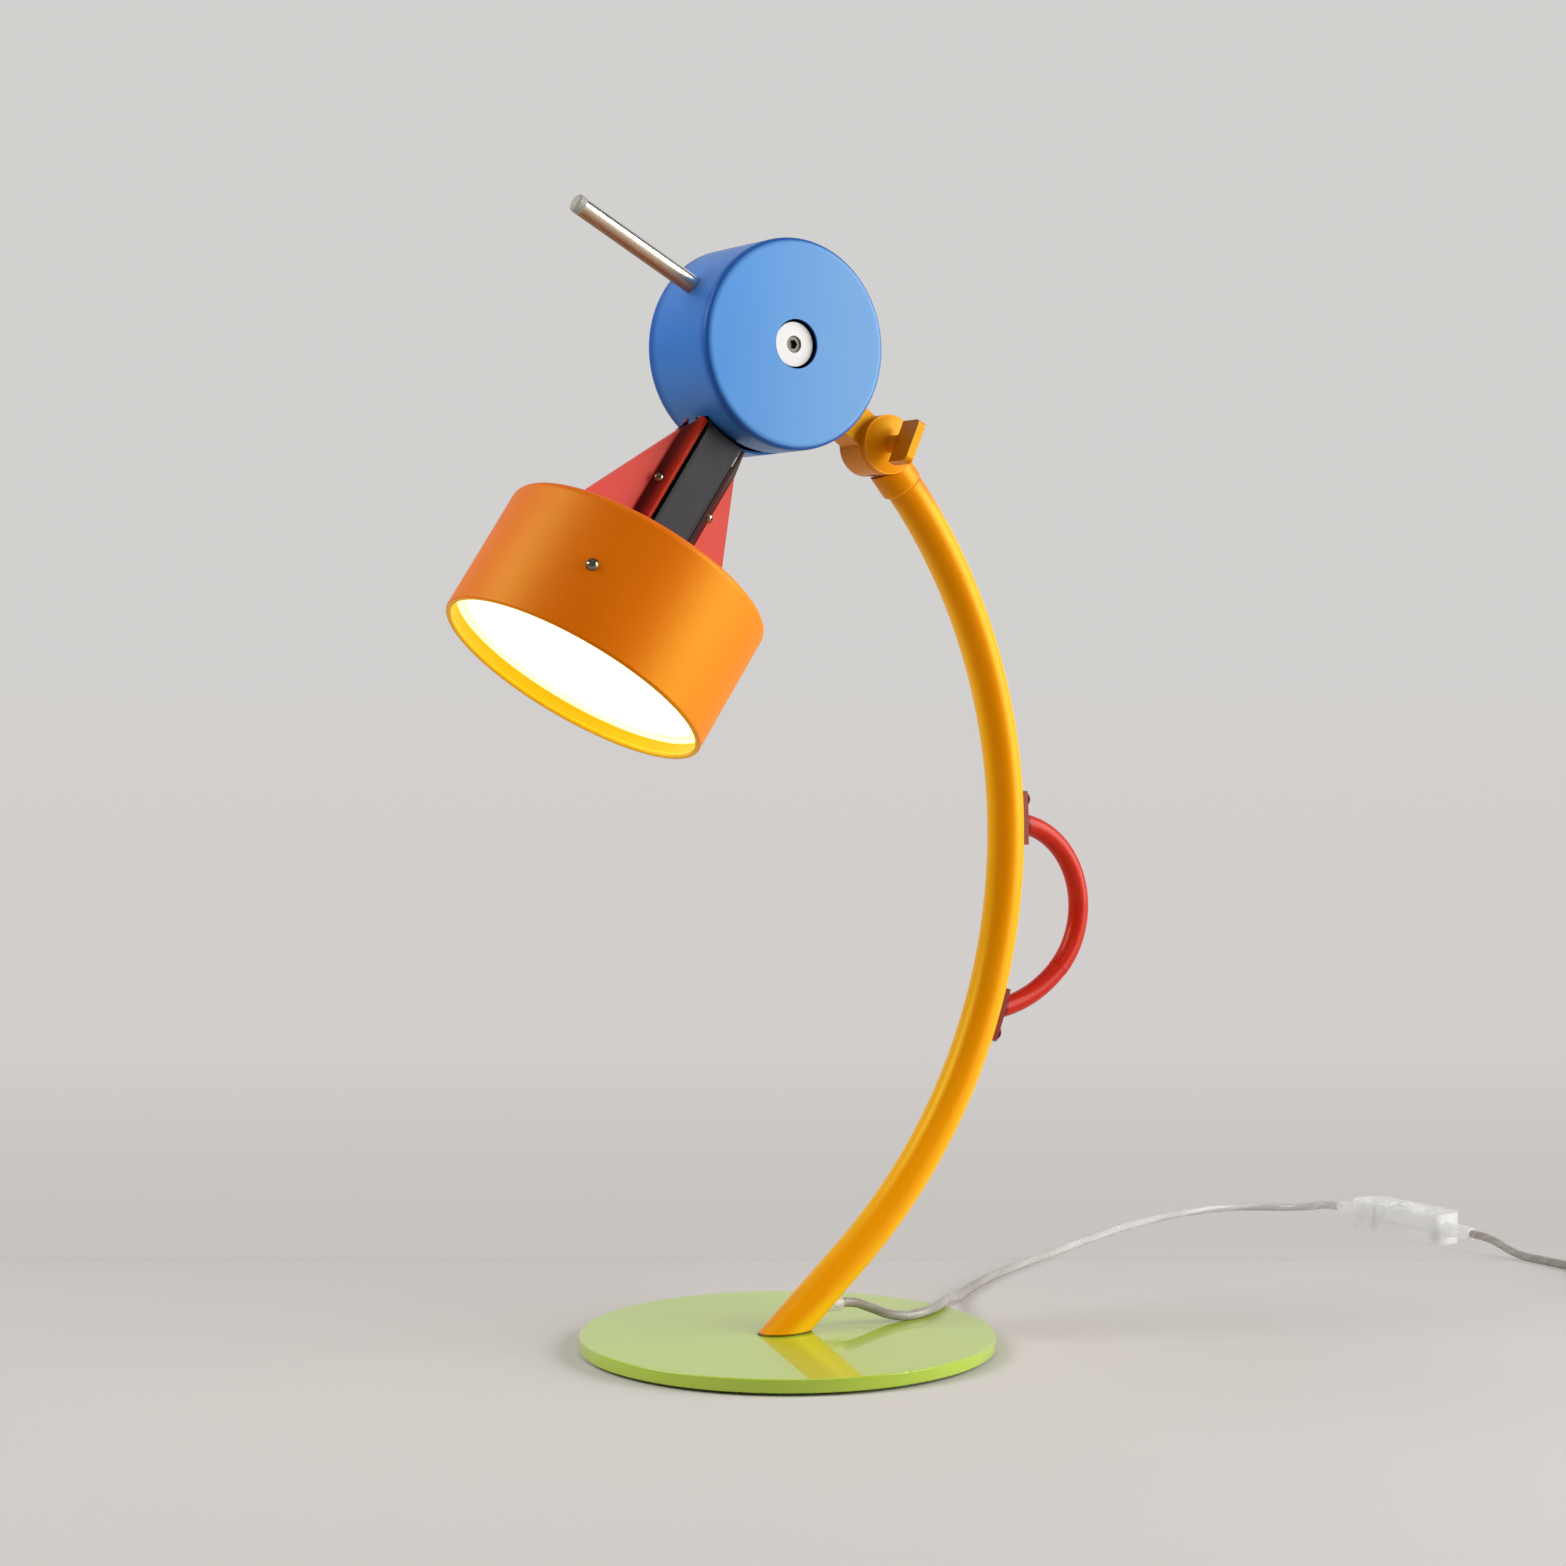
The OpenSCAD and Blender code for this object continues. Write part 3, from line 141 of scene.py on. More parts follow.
def coil_point(turn):
    """A point of the coil: in to the middle on the lower layer, then out again on the upper one."""
    from_middle = turn - COIL_TURNS / 2
    radius = COIL_INNER + COIL_STEP * abs(from_middle)
    angle = math.pi * (1 + 2 * turn)
    risen = min(max(from_middle / COIL_RISE + 0.5, 0), 1)
    height = COIL_LOW + COIL_LIFT * risen * risen * (3 - 2 * risen)
    return Vector((COIL_MID[0] + radius * math.cos(angle), COIL_MID[1] + radius * math.sin(angle), height))


def route_length(line):
    return sum((b - a).length for a, b in zip(line, line[1:]))


coil_line = [coil_point(k / TURN_STEPS) for k in range(COIL_TURNS * TURN_STEPS + 1)]
coil_line += [Vector((TAIL_ROUTE[0][0], y, coil_line[-1].z)) for y in COIL_END_Y]
lead_line = smooth_route(LEAD_ROUTE)
tail_line = smooth_route(TAIL_ROUTE) + coil_line
print("lead", round(route_length(lead_line), 3), "m")
print("tail with its coil", round(route_length(tail_line), 3), "m")

# %% [markdown]
# Each cord is one curve with a round bevel. A curve keeps its centre line, so its length can be measured,
# and it stays smooth from any side. The bevel is one unit deep and each point's radius scales it, because
# a curve's box is worked out from its radius. The curve stands for the plain solid that holds its place
# in the frame.

# %% Cords
ROUND_STEPS = 5


def lay_cord(name, line, thickness):
    """A round cord along a line, as a curve of one open spline."""
    data = bpy.data.curves.new(name, "CURVE")
    data.dimensions = "3D"
    data.bevel_depth = 1
    data.bevel_resolution = ROUND_STEPS
    data.use_fill_caps = True
    spline = data.splines.new("POLY")
    spline.points.add(len(line) - 1)
    for point, place in zip(spline.points, line):
        point.co = (*place, 1)
        point.radius = thickness / 2
    spline.use_smooth = True
    cord = bpy.data.objects.new(name, data)
    scene.collection.objects.link(cord)
    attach(cord, "stand")
    return cord


lead = lay_cord("lead_cord", lead_line, CORD_D)
tail = lay_cord("plug_cord", tail_line, CORD_D)
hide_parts("cord_lead")
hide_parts("cord_tail", "cord_coil")
route_length(lead_line)
route_length(tail_line)
print("cords:", lead.name, tail.name)

# %% [markdown]
# Every finish below is a small set of shader nodes. Wiring Math nodes one by one is slow and hard to
# read, so this class wraps a node's output, and plain Python arithmetic on it adds the Math nodes.

# %% Arithmetic on node outputs


class Value:
    """A node's output that can be added, taken away and multiplied."""

    def __init__(self, finish, socket):
        self.finish = finish
        self.socket = socket

    def maths(self, operation, *others):
        return self.finish.maths(operation, self, *others)

    def __add__(self, other):
        return self.maths("ADD", other)

    def __sub__(self, other):
        return self.maths("SUBTRACT", other)

    def __rsub__(self, other):
        return self.finish.maths("SUBTRACT", other, self)

    def __mul__(self, other):
        return self.maths("MULTIPLY", other)

    __radd__ = __add__
    __rmul__ = __mul__

    def between(self, low, high):
        """0 below low, 1 above high, and a smooth step from one to the other."""
        settings = {"interpolation_type": "SMOOTHSTEP"}
        sockets = {"Value": self, "From Min": low, "From Max": high}
        return self.finish.node("ShaderNodeMapRange", settings, sockets)


print("values can be added, taken away, multiplied and stepped")

# %% [markdown]
# A finish is one material. Most of its masks are distances in Object coordinates, along a line or away
# from an axis: they need no UV map, and they stay on the piece when it moves. Clouds of noise give the
# small changes of tone that keep a real surface from looking flat.

# %% Finishes


class Finish:
    """One material: its shader, and the nodes that feed it."""

    def __init__(self, name):
        self.material = bpy.data.materials.new(name)
        self.material.use_nodes = True
        self.tree = self.material.node_tree
        self.shader = self.tree.nodes["Principled BSDF"]
        self.skin = Value(self, self.shader.outputs["BSDF"])
        self.place = self.node("ShaderNodeTexCoord", out="Object")

    def put(self, socket, value):
        if isinstance(value, Value):
            self.tree.links.new(value.socket, socket)
        else:
            socket.default_value = value

    def node(self, kind, settings=None, sockets=None, out=0):
        """A node of any kind: its settings come first, then the values or links of its sockets."""
        made = self.tree.nodes.new(kind)
        for key, value in (settings or {}).items():
            setattr(made, key, value)
        for key, value in (sockets or {}).items():
            self.put(made.inputs[key], value)
        return Value(self, made.outputs[out])

    def maths(self, operation, *terms):
        return self.node("ShaderNodeMath", {"operation": operation}, dict(enumerate(terms)))

    def vector(self, operation, *terms, out=0):
        return self.node("ShaderNodeVectorMath", {"operation": operation}, dict(enumerate(terms)), out)

    def along(self, way, start=(0, 0, 0)):
        """How far a place lies from `start` in the direction `way`, in metres."""
        return self.vector("DOT_PRODUCT", self.vector("SUBTRACT", self.place, start), way, out="Value")

    def from_axis(self, way, start):
        """How far a place lies from a line through `start` in the direction `way`, in metres."""
        square = self.vector("CROSS_PRODUCT", self.vector("SUBTRACT", self.place, start), way)
        return self.vector("LENGTH", square, out="Value")

    def noise(self, scale, detail, stretch=(1, 1, 1)):
        """Cloudy values from 0 to 1, with `scale` clouds to the metre, drawn out by `stretch`."""
        drawn_out = {"Vector": self.place, "Scale": stretch}
        place = self.node("ShaderNodeMapping", {"vector_type": "TEXTURE"}, drawn_out)
        return self.node("ShaderNodeTexNoise", None, {"Vector": place, "Scale": scale, "Detail": detail})

    def mix(self, factor, first, second):
        """A colour between two others. A Mix node has its colours at sockets 6 and 7 and at output 2."""
        return self.node("ShaderNodeMix", {"data_type": "RGBA"}, {0: factor, 6: first, 7: second}, out=2)

    def bump(self, height, strength, depth):
        return self.node("ShaderNodeBump", None, {"Height": height, "Strength": strength, "Distance": depth})

    def set(self, sockets):
        for key, value in sockets.items():
            self.put(self.shader.inputs[key], value)

    def tint(self, mask, tone):
        """Lays a tone over the colour that the shader has so far, where the mask is 1."""
        so_far = Value(self, self.shader.inputs["Base Color"].links[0].from_socket)
        self.set({"Base Color": self.mix(mask, so_far, tone)})


print("finish: distances, noise, mix, bump and tint")

# %% [markdown]
# Colours are written as they look on a screen, from 0 to 255, and turned into the linear light that a
# shader works in. Each finish is then given to its pieces by name, and their meshes stay as they are.

# %% Colours and pieces


def colour(red, green, blue):
    """A colour as it is seen on a screen, as the shader's linear light, by the usual sRGB curve."""
    seen = [c / 255 for c in (red, green, blue)]
    return (*[c / 12.92 if c < 0.04045 else ((c + 0.055) / 1.055) ** 2.4 for c in seen], 1)


def dress(finish, *names):
    """Gives the named pieces of the frame this finish."""
    for name in names:
        data = nodes[name].data
        data.materials.clear()
        data.materials.append(finish.material)


print("mid grey in linear light:", round(colour(128, 128, 128)[0], 3))

# %% [markdown]
# The big pieces are steel with a smooth stove paint. Such paint is not one flat colour: it pools a
# little, so its tone drifts over a few centimetres, and its skin has a faint orange peel that breaks up
# reflections. Each paint has its own shine, and a tint in its highlights where pale light would wash its
# colour out.

# %% Stove paint
DRIFT_FADE = (0.3, 0.75)
DRIFT_SHARE = 0.7
GRAIN_SHARE = 0.3
PEEL_DEPTH = 0.0004


def stove_paint(name, light, deep, rough, shine=0.3, coat=0.0, peel=0.05, glint=(1, 1, 1, 1)):
    """Paint that drifts from a light tone to a deep one; `glint` tints its highlights."""
    finish = Finish(name)
    drift = finish.noise(scale=16, detail=3)
    grain = finish.noise(scale=1400, detail=1)
    skin = finish.noise(scale=420, detail=1.5)
    pooled = drift.between(*DRIFT_FADE) * DRIFT_SHARE + grain * GRAIN_SHARE
    finish.set({
        "Base Color": finish.mix(pooled, light, deep),
        "Roughness": rough + 0.06 * drift + 0.05 * grain,
        "Specular IOR Level": shine,
        "Specular Tint": glint,
        "Coat Weight": coat,
        "Coat Roughness": 0.04,
        "Normal": finish.bump(skin + 0.3 * grain, strength=peel, depth=PEEL_DEPTH),
    })
    return finish


print("stove paint: drift, grain and orange peel")

# %% [markdown]
# The stem is a bent tube in amber paint, and so are its head, the drum's lug and the wing knob. The tone
# is a little deeper towards the top, a painted shade, so that the lower stem looks more brightly lit.
# Along the two sides of the tube it is painted more golden, a painted highlight, and the tube's lowest
# edge is painted dark, a painted contact shadow where it stands on the base. The masks are heights, and
# how far a place lies to either side of the tube's middle line as the camera sees it. That line is an
# arc, about an axis on the shade's side of it.

# %% Amber stem
AMBER_GLINT = (1.0, 1.0, 0.03, 1)
BEND_MID = (-0.14581, 0, 0.26311)
BEND_RADIUS = 0.287
STEM_RADIUS = 0.010
STEM_TOP = 0.45
HEAD_FADE = 0.02
TOP_SHADE_SHARE = 0.8
SIDE_HIGHLIGHT_SHARE = 0.85
SIDE_HIGHLIGHT_FROM = 0.4 * STEM_RADIUS
BASE_TOP = 0.0085
FOOT_SHADOW_HEIGHT = 0.0014

amber = stove_paint("amber_paint", colour(240, 148, 1), colour(234, 141, 1), rough=0.32, shine=0.64,
                    glint=AMBER_GLINT)
height = amber.along((0, 0, 1))
# Painted shade: darker towards the top, so that the lower stem looks more brightly lit.
amber.tint(TOP_SHADE_SHARE * height.between(0, STEM_TOP), colour(224, 126, 1))
# Painted highlight: a golden tone along both sides of the tube, as the camera sees them.
from_bend = amber.from_axis((0, 1, 0), BEND_MID) - BEND_RADIUS
to_side = (from_bend * aside.x + amber.along((0, 1, 0)) * aside.y).maths("ABSOLUTE")
on_tube = 1 - height.between(STEM_TOP - HEAD_FADE, STEM_TOP)
amber.tint(SIDE_HIGHLIGHT_SHARE * on_tube * to_side.between(SIDE_HIGHLIGHT_FROM, STEM_RADIUS), colour(250, 184, 4))
# Painted contact shadow: a dark band on the tube's lowest edge, where it stands on the base.
amber.tint(1 - height.between(BASE_TOP + FOOT_SHADOW_HEIGHT / 2, BASE_TOP + FOOT_SHADOW_HEIGHT), colour(84, 66, 6))
dress(amber, "stem_tube", "stem_head", "drum_lug", "wing_knob")
print("stem and knuckle: amber")

# %% [markdown]
# The drum's shell is turned. Its face is painted palest towards the knuckle, a painted highlight where
# the light falls on it. Over the rounded edge of the face the paint is darkest, and on the side it is a
# deeper blue, both painted shade. The masks are plain distances: how far a place lies behind the face,
# and how far across it.

# %% Blue drum
DRUM_MID = (-0.01248, 0, 0.51561)
DRUM_HALF = 0.028
BLUE_GLINT = (0.3, 0.6, 1.0, 1)
FACE_HIGHLIGHT_FADE = (-0.06, 0.05)
EDGE_FADE = (0.0001, 0.0009)
RIM_SHADE_FADE = (0.002, 0.008)

blue = stove_paint("blue_paint", colour(82, 142, 211), colour(77, 137, 206), rough=0.3, shine=0.36,
                   glint=BLUE_GLINT)
from_face = DRUM_HALF - blue.along((0, 1, 0)).maths("ABSOLUTE")
# Painted shade: darkest just past the face's rounded edge, then a deeper blue over the side.
shaded_side_tone = blue.mix(from_face.between(*RIM_SHADE_FADE), colour(34, 88, 170), colour(58, 120, 200))
# Painted highlight: the face turns paler towards the knuckle.
blue.tint(blue.along((1, 0, 0), DRUM_MID).between(*FACE_HIGHLIGHT_FADE), colour(110, 155, 204))
blue.tint(from_face.between(*EDGE_FADE), shaded_side_tone)
dress(blue, "drum_shell", "drum_back")
print("drum: blue")

# %% [markdown]
# The shade is orange outside. Inside it is painted a warm yellow, a painted glow for the light that
# bounces there. The two sides of its thin wall are told apart by how far a place lies from the shade's
# axis. Outside, the side that lies to the camera's right is painted a more golden orange, a painted
# highlight along the broad soft highlight that runs down it.

# %% Orange shade with a painted glow inside
NECK_ANGLE = math.radians(34)
NECK_WAY = (-math.sin(NECK_ANGLE), 0, -math.cos(NECK_ANGLE))
SHADE_RADIUS = 0.0715
SHADE_TOP = 0.1345
SHADE_GLINT = (1.0, 1.0, 0.04, 1)
SKIN_FADE = (SHADE_RADIUS - 0.0009, SHADE_RADIUS - 0.0005)
LINING_FADE = (SHADE_TOP + 0.004, SHADE_TOP + 0.006)
RIGHT_HIGHLIGHT_FADE = (0.3 * SHADE_RADIUS, 0.75 * SHADE_RADIUS)

shade = stove_paint("orange_paint", colour(228, 102, 1), colour(220, 95, 0), rough=0.44, shine=0.76,
                    glint=SHADE_GLINT)
outer = shade.from_axis(NECK_WAY, DRUM_MID).between(*SKIN_FADE)
lining = (1 - outer) * shade.along(NECK_WAY, DRUM_MID).between(*LINING_FADE)
to_right = Vector(NECK_WAY).cross(look).normalized()
# Painted highlight: a more golden orange on the side to the camera's right.
shade.tint(shade.along(tuple(to_right), DRUM_MID).between(*RIGHT_HIGHLIGHT_FADE), colour(234, 128, 16))
# Painted glow: the inside is yellow, as if lit by the light that bounces there.
shade.tint(lining, colour(250, 182, 26))
dress(shade, "shade_can")
print("shade: two colours")

# %% [markdown]
# The neck's two shells are bent sheet. The fins are a light coral. The sloping walls between the fins and
# the bar lie in shade, and that light and shade is painted on: the band beside the bar is a bright red,
# deepening to a painted shade that is darkest along the bend, and on the side away from the camera all of
# it is painted dark as shade.

# %% Coral neck
ACROSS_NECK = (math.cos(NECK_ANGLE), 0, -math.sin(NECK_ANGLE))
WALL_FROM = 0.0118
WALL_TO = 0.0200
START_FADE = 0.0004
END_FADE = 0.0006
BEND_SHADE_WIDTH = 0.0020
MIDDLE_FADE = 0.001
RED_GLINT = (1.0, 0.5, 0.42, 1)

coral = stove_paint("coral_paint", colour(217, 84, 76), colour(208, 74, 66), rough=0.34, shine=0.2,
                    glint=RED_GLINT)
across = coral.along(ACROSS_NECK, DRUM_MID)
beside = across.maths("ABSOLUTE")
wall = beside.between(WALL_FROM, WALL_FROM + START_FADE) * (1 - beside.between(WALL_TO - END_FADE, WALL_TO))
to_bend = beside.between(WALL_FROM, WALL_TO - BEND_SHADE_WIDTH)
# Painted light and shade on the sloping walls: bright by the bar, darkest at the bend, dark on the far side.
left_wall_shading = coral.mix(to_bend, colour(196, 46, 18), colour(78, 5, 5))
coral.tint(wall, coral.mix(across.between(0, MIDDLE_FADE), left_wall_shading, colour(34, 3, 3)))
dress(coral, "neck_front", "neck_rear")
print("neck: coral fins, deeper walls")

# %% [markdown]
# The base has a thicker, glossy lacquer: a clear coat over the lime colour mirrors the stem and the pale
# wall. The handle's red is glossy too, with less of that clear coat, and its two feet on the stem are
# painted a darker red, as painted shade where they lie against the stem.

# %% Gloss paint
FOOT_REACH = 0.2998
FOOT_FADE = 0.0006

dress(stove_paint("lime_paint", colour(177, 203, 54), colour(170, 197, 47), rough=0.3, coat=0.92, peel=0.02),
      "base_plate")
red = stove_paint("red_paint", colour(200, 38, 14), colour(186, 29, 9), rough=0.28, shine=0.36, coat=0.06,
                  glint=RED_GLINT)
past_foot = red.from_axis((0, 1, 0), BEND_MID).between(FOOT_REACH, FOOT_REACH + FOOT_FADE)
# Painted shade: the handle's feet on the stem are a darker red.
red.tint(1 - past_foot, colour(116, 18, 8))
dress(red, "grab_handle")
print("gloss pieces: base and handle")

# %% [markdown]
# The neck's bar is black, and a dark grey strip is let into its front and back. The strip stops short of
# the face's edges, and the black margin left beside it is partly painted shade, for the shaded gap
# between the bar and the red walls. The strip is a mask from two distances: how far a place lies from the
# bar's middle line, and how far in front of or behind its middle.

# %% Black bar with grey strips
STRIP_HALF = 0.0089
STRIP_FADE = 0.0003
BAR_FACE = 0.0112
FACE_DEPTH = 0.0002
GRAIN_DEPTH = 0.0003

bar = Finish("black_bar")
from_line = bar.along(ACROSS_NECK, DRUM_MID).maths("ABSOLUTE")
outward = bar.along((0, 1, 0)).maths("ABSOLUTE")
on_face = outward.between(BAR_FACE - FACE_DEPTH, BAR_FACE)
# Black beside the strip: the bar's own black, and also painted shade of the gap to the walls.
strip = on_face * (1 - from_line.between(STRIP_HALF, STRIP_HALF + STRIP_FADE))
smear = bar.noise(scale=70, detail=3)
strip_tone = bar.mix(smear, colour(46, 45, 49), colour(39, 38, 42))
bar.set({
    "Base Color": bar.mix(strip, colour(13, 13, 14), strip_tone),
    "Roughness": 0.24 + 0.1 * smear + 0.12 * strip,
    "Specular IOR Level": 0.2,
    "Normal": bar.bump(bar.noise(scale=500, detail=2), strength=0.04, depth=GRAIN_DEPTH),
})
dress(bar, "swing_arm")
print("bar: black with two grey strips")

# %% [markdown]
# Screws, nuts, pins and the plate behind the light are metal, which shows the marks of how it was made:
# turned and drawn pieces have fine lines, and plated ones are almost a mirror with a slight haze. Such
# marks are finer than a pixel, so they are not modelled: noise that is stretched one way gives the lines.

# %% Bare and plated metal
MARK_DEPTH = 0.0002


def metal(name, light, dark, rough, lines=(1, 1, 1)):
    """Metal with a cloudy haze and fine marks, which `lines` draws out in one direction."""
    finish = Finish(name)
    haze = finish.noise(scale=60, detail=3)
    marks = finish.noise(scale=900, detail=2, stretch=lines)
    finish.set({
        "Base Color": finish.mix(haze * 0.6 + marks * 0.4, light, dark),
        "Metallic": 1.0,
        "Roughness": rough + 0.08 * marks + 0.06 * haze,
        "Normal": finish.bump(marks, strength=0.06, depth=MARK_DEPTH),
    })
    return finish


steel = metal("bright_steel", colour(206, 204, 200), colour(170, 168, 164), rough=0.22)
dress(steel, "base_bolt", "back_screws", "axle_nut", "lug_screws", "pivot_nut", "pivot_stud", "rod_nut",
      "arm_screws", "switch_screws")
dress(metal("dull_steel", colour(150, 140, 122), colour(112, 102, 86), rough=0.16),
      "neck_screws", "shade_screws")
dress(metal("dark_steel", colour(96, 92, 86), colour(66, 62, 58), rough=0.3), "axle_bolt")
# Painted shade: the handle's red screws are shown dark brown, as they lie in shade.
dress(metal("shaded_red_screws", colour(92, 26, 18), colour(70, 18, 12), rough=0.32), "handle_screws")
dress(metal("brass", colour(214, 178, 104), colour(188, 150, 78), rough=0.2), "plug_pins")
dress(metal("aluminium", colour(214, 214, 212), colour(190, 190, 188), rough=0.32, lines=(1, 1, 6)),
      "light_plate", "driver_box", "led_board")
print("metal pieces dressed")

# %% [markdown]
# The rod is chrome, which mirrors what is round it: pale above and brown below. A plain stage gives no
# brown, so the lower half of the rod gets that tone, and a duller skin, from how far a place lies below
# the rod's middle line. That line runs a little above the drum's axis.

# %% Chrome rod
ROD_TURN = math.radians(152)
ROD_RADIUS = 0.00475
ROD_OFFSET = 0.005
HALF_FADE = (-0.0006, 0.0014)
BROWN_FADE = (0.0010, ROD_RADIUS)

chrome = Finish("chrome_plate")
haze = chrome.noise(scale=60, detail=3)
below = chrome.along((-math.sin(ROD_TURN), 0, math.cos(ROD_TURN)), DRUM_MID) + ROD_OFFSET
brown = chrome.mix(below.between(*BROWN_FADE), colour(204, 184, 158), colour(164, 134, 104))
lower = below.between(*HALF_FADE)
chrome.set({
    "Base Color": chrome.mix(lower, colour(238, 236, 231), brown),
    "Metallic": 1.0,
    "Roughness": 0.12 + 0.08 * haze + 0.3 * lower,
})
dress(chrome, "handle_rod")
print("rod: chrome")

# %% [markdown]
# The white hub in the drum's eye and the plug are moulded plastic, and the pad, the tie and the washers
# are rubber. Their skin is dull and slightly pebbled, so fine noise drives both tone and bump.

# %% Plastic and rubber
PEBBLE_DEPTH = 0.0002


def moulded(name, light, dark, rough, pebble=0.15):
    """Plastic or rubber with a cloudy tone and a fine grain."""
    finish = Finish(name)
    tone = finish.noise(scale=40, detail=3)
    grain = finish.noise(scale=2200, detail=2)
    finish.set({
        "Base Color": finish.mix(tone * 0.7 + grain * 0.3, light, dark),
        "Roughness": rough + 0.12 * grain,
        "Normal": finish.bump(grain, strength=pebble, depth=PEBBLE_DEPTH),
    })
    return finish


dress(moulded("white_plastic", colour(230, 228, 223), colour(222, 219, 213), rough=0.3),
      "eye_hub", "plug_body", "plug_relief", "light_sleeve")
dress(moulded("black_rubber", colour(34, 34, 35), colour(24, 24, 25), rough=0.6, pebble=0.3),
      "base_pad", "cord_tie", "tilt_washers", "swing_washers", "hub_spacer")
dress(moulded("grey_cap", colour(176, 172, 162), colour(156, 151, 141), rough=0.4, pebble=0.05), "rod_cap")
dress(moulded("dark_plug", colour(60, 60, 60), colour(44, 44, 44), rough=0.5), "foot_plug")
print("plastic pieces dressed")

# %% [markdown]
# The switch, and the bush where the cord leaves the stem, are moulded in clear plastic. A frosted, half
# see-through white looks like it at any distance, and needs no refraction through two walls.

# %% Clear case
FROST_DEPTH = 0.0003

case = Finish("clear_case")
frost = case.noise(scale=260, detail=3)
case.set({
    "Base Color": case.mix(frost, colour(252, 252, 251), colour(243, 243, 242)),
    "Roughness": 0.12 + 0.2 * frost,
    "Alpha": 0.34 + 0.12 * frost,
    "Normal": case.bump(frost, strength=0.08, depth=FROST_DEPTH),
})
dress(case, "switch_base", "switch_cover", "switch_reliefs", "switch_rocker", "cord_bush")
print("switch and bush: clear plastic")

# %% [markdown]
# The cord is clear soft plastic round two tinned wires that are twisted together, which give it a silver
# look. The curve's own UV map says how far round (V) and how far along (U) a place is, so a sine wave of
# both draws the two wires as a faint long twist under the skin. The tone drifts in patches a hand's width
# long, and is paler over the cord's far half.

# %% Clear cord
WIRES = 2
TWIST_PITCH = 0.07
TWIST_DEPTH = 0.0003
PATCH_FADE = (0.35, 0.7)
FAR_HALF = (0.4, 0.6)
WIRE_SHARE = 0.15
PATCH_SHARE = 0.25
FAR_SHARE = 0.6


def clear_cord(name, length):
    """Clear plastic over twisted wires, for a cord of this length."""
    finish = Finish(name)
    uv = finish.node("ShaderNodeUVMap", {"uv_map": "UVMap"})
    length_way = finish.node("ShaderNodeSeparateXYZ", None, {0: uv}, out="X")
    round_way = finish.node("ShaderNodeSeparateXYZ", None, {0: uv}, out="Y")
    twist = 2 * math.pi * (WIRES * round_way + length_way * (WIRES * length / TWIST_PITCH))
    wires = twist.maths("SINE").between(-1, 1)
    patches = finish.noise(scale=11, detail=1).between(*PATCH_FADE)
    paler = WIRE_SHARE * wires + PATCH_SHARE * patches + FAR_SHARE * length_way.between(*FAR_HALF)
    finish.set({
        "Base Color": finish.mix(paler, colour(174, 166, 159), colour(232, 230, 227)),
        "Roughness": 0.2 + 0.08 * wires,
        "Transmission Weight": 0.35,
        "IOR": 1.45,
        "Normal": finish.bump(wires, strength=0.02, depth=TWIST_DEPTH),
    })
    return finish


for cord, line in ((lead, lead_line), (tail, tail_line)):
    cord.data.materials.append(clear_cord(cord.name, route_length(line)).material)
dress(moulded("pale_lead", colour(226, 223, 217), colour(214, 211, 205), rough=0.4), "stem_lead")
print("cords dressed")

# %% [markdown]
# The opal disc in the shade glows evenly over its middle. Towards its rim its glow is painted warmer, a
# painted reflection of the yellow wall of the shade. The snap ring that holds the disc is given the same
# glow, as painted light, though it is no lamp. The disc lights the inside of the shade.

# %% Glowing disc
DISC_RADIUS = 0.068
RIM_GLOW_BAND = 0.009
RIM_GLOW_SHARE = 0.9
CLOUD_SHARE = 0.06

opal = Finish("opal_disc")
# Painted reflection: the glow turns warmer towards the disc's rim.
to_rim = opal.from_axis(NECK_WAY, DRUM_MID).between(DISC_RADIUS - RIM_GLOW_BAND, DISC_RADIUS)
painted_rim_glow = to_rim * RIM_GLOW_SHARE + CLOUD_SHARE * opal.noise(scale=30, detail=2)
opal.set({
    "Base Color": colour(246, 244, 238),
    "Roughness": 0.4 + 0.1 * opal.noise(scale=300, detail=2),
    "Emission Color": opal.mix(painted_rim_glow, colour(255, 249, 238), colour(255, 206, 96)),
    "Emission Strength": 1.6,
})
# Painted light: the snap ring glows with the disc, though it is no lamp.
dress(opal, "diffuser", "snap_ring")
print("disc: glowing opal")

# %% [markdown]
# The stage is one pale sheet that curves up behind the lamp, so that no hard line crosses the picture. It
# is a strip of edges, swept: the floor is extruded back, spun a quarter turn for the cove, and drawn up.

# %% Stage
FLOOR_FRONT = -4.0
FLOOR_BACK = 2.6
COVE = 0.8
COVE_STEPS = 24
WALL_HEIGHT = 4.0
HALF_WIDTH = 5.0


def only_edges(geometry):
    return [g for g in geometry if isinstance(g, bmesh.types.BMEdge)]


def draw_out(sheet, edges, way):
    """Extrudes edges in one direction and gives back the new ones."""
    grown = bmesh.ops.extrude_edge_only(sheet, edges=edges)["geom"]
    bmesh.ops.translate(sheet, verts=[g for g in grown if isinstance(g, bmesh.types.BMVert)], vec=way)
    return only_edges(grown)


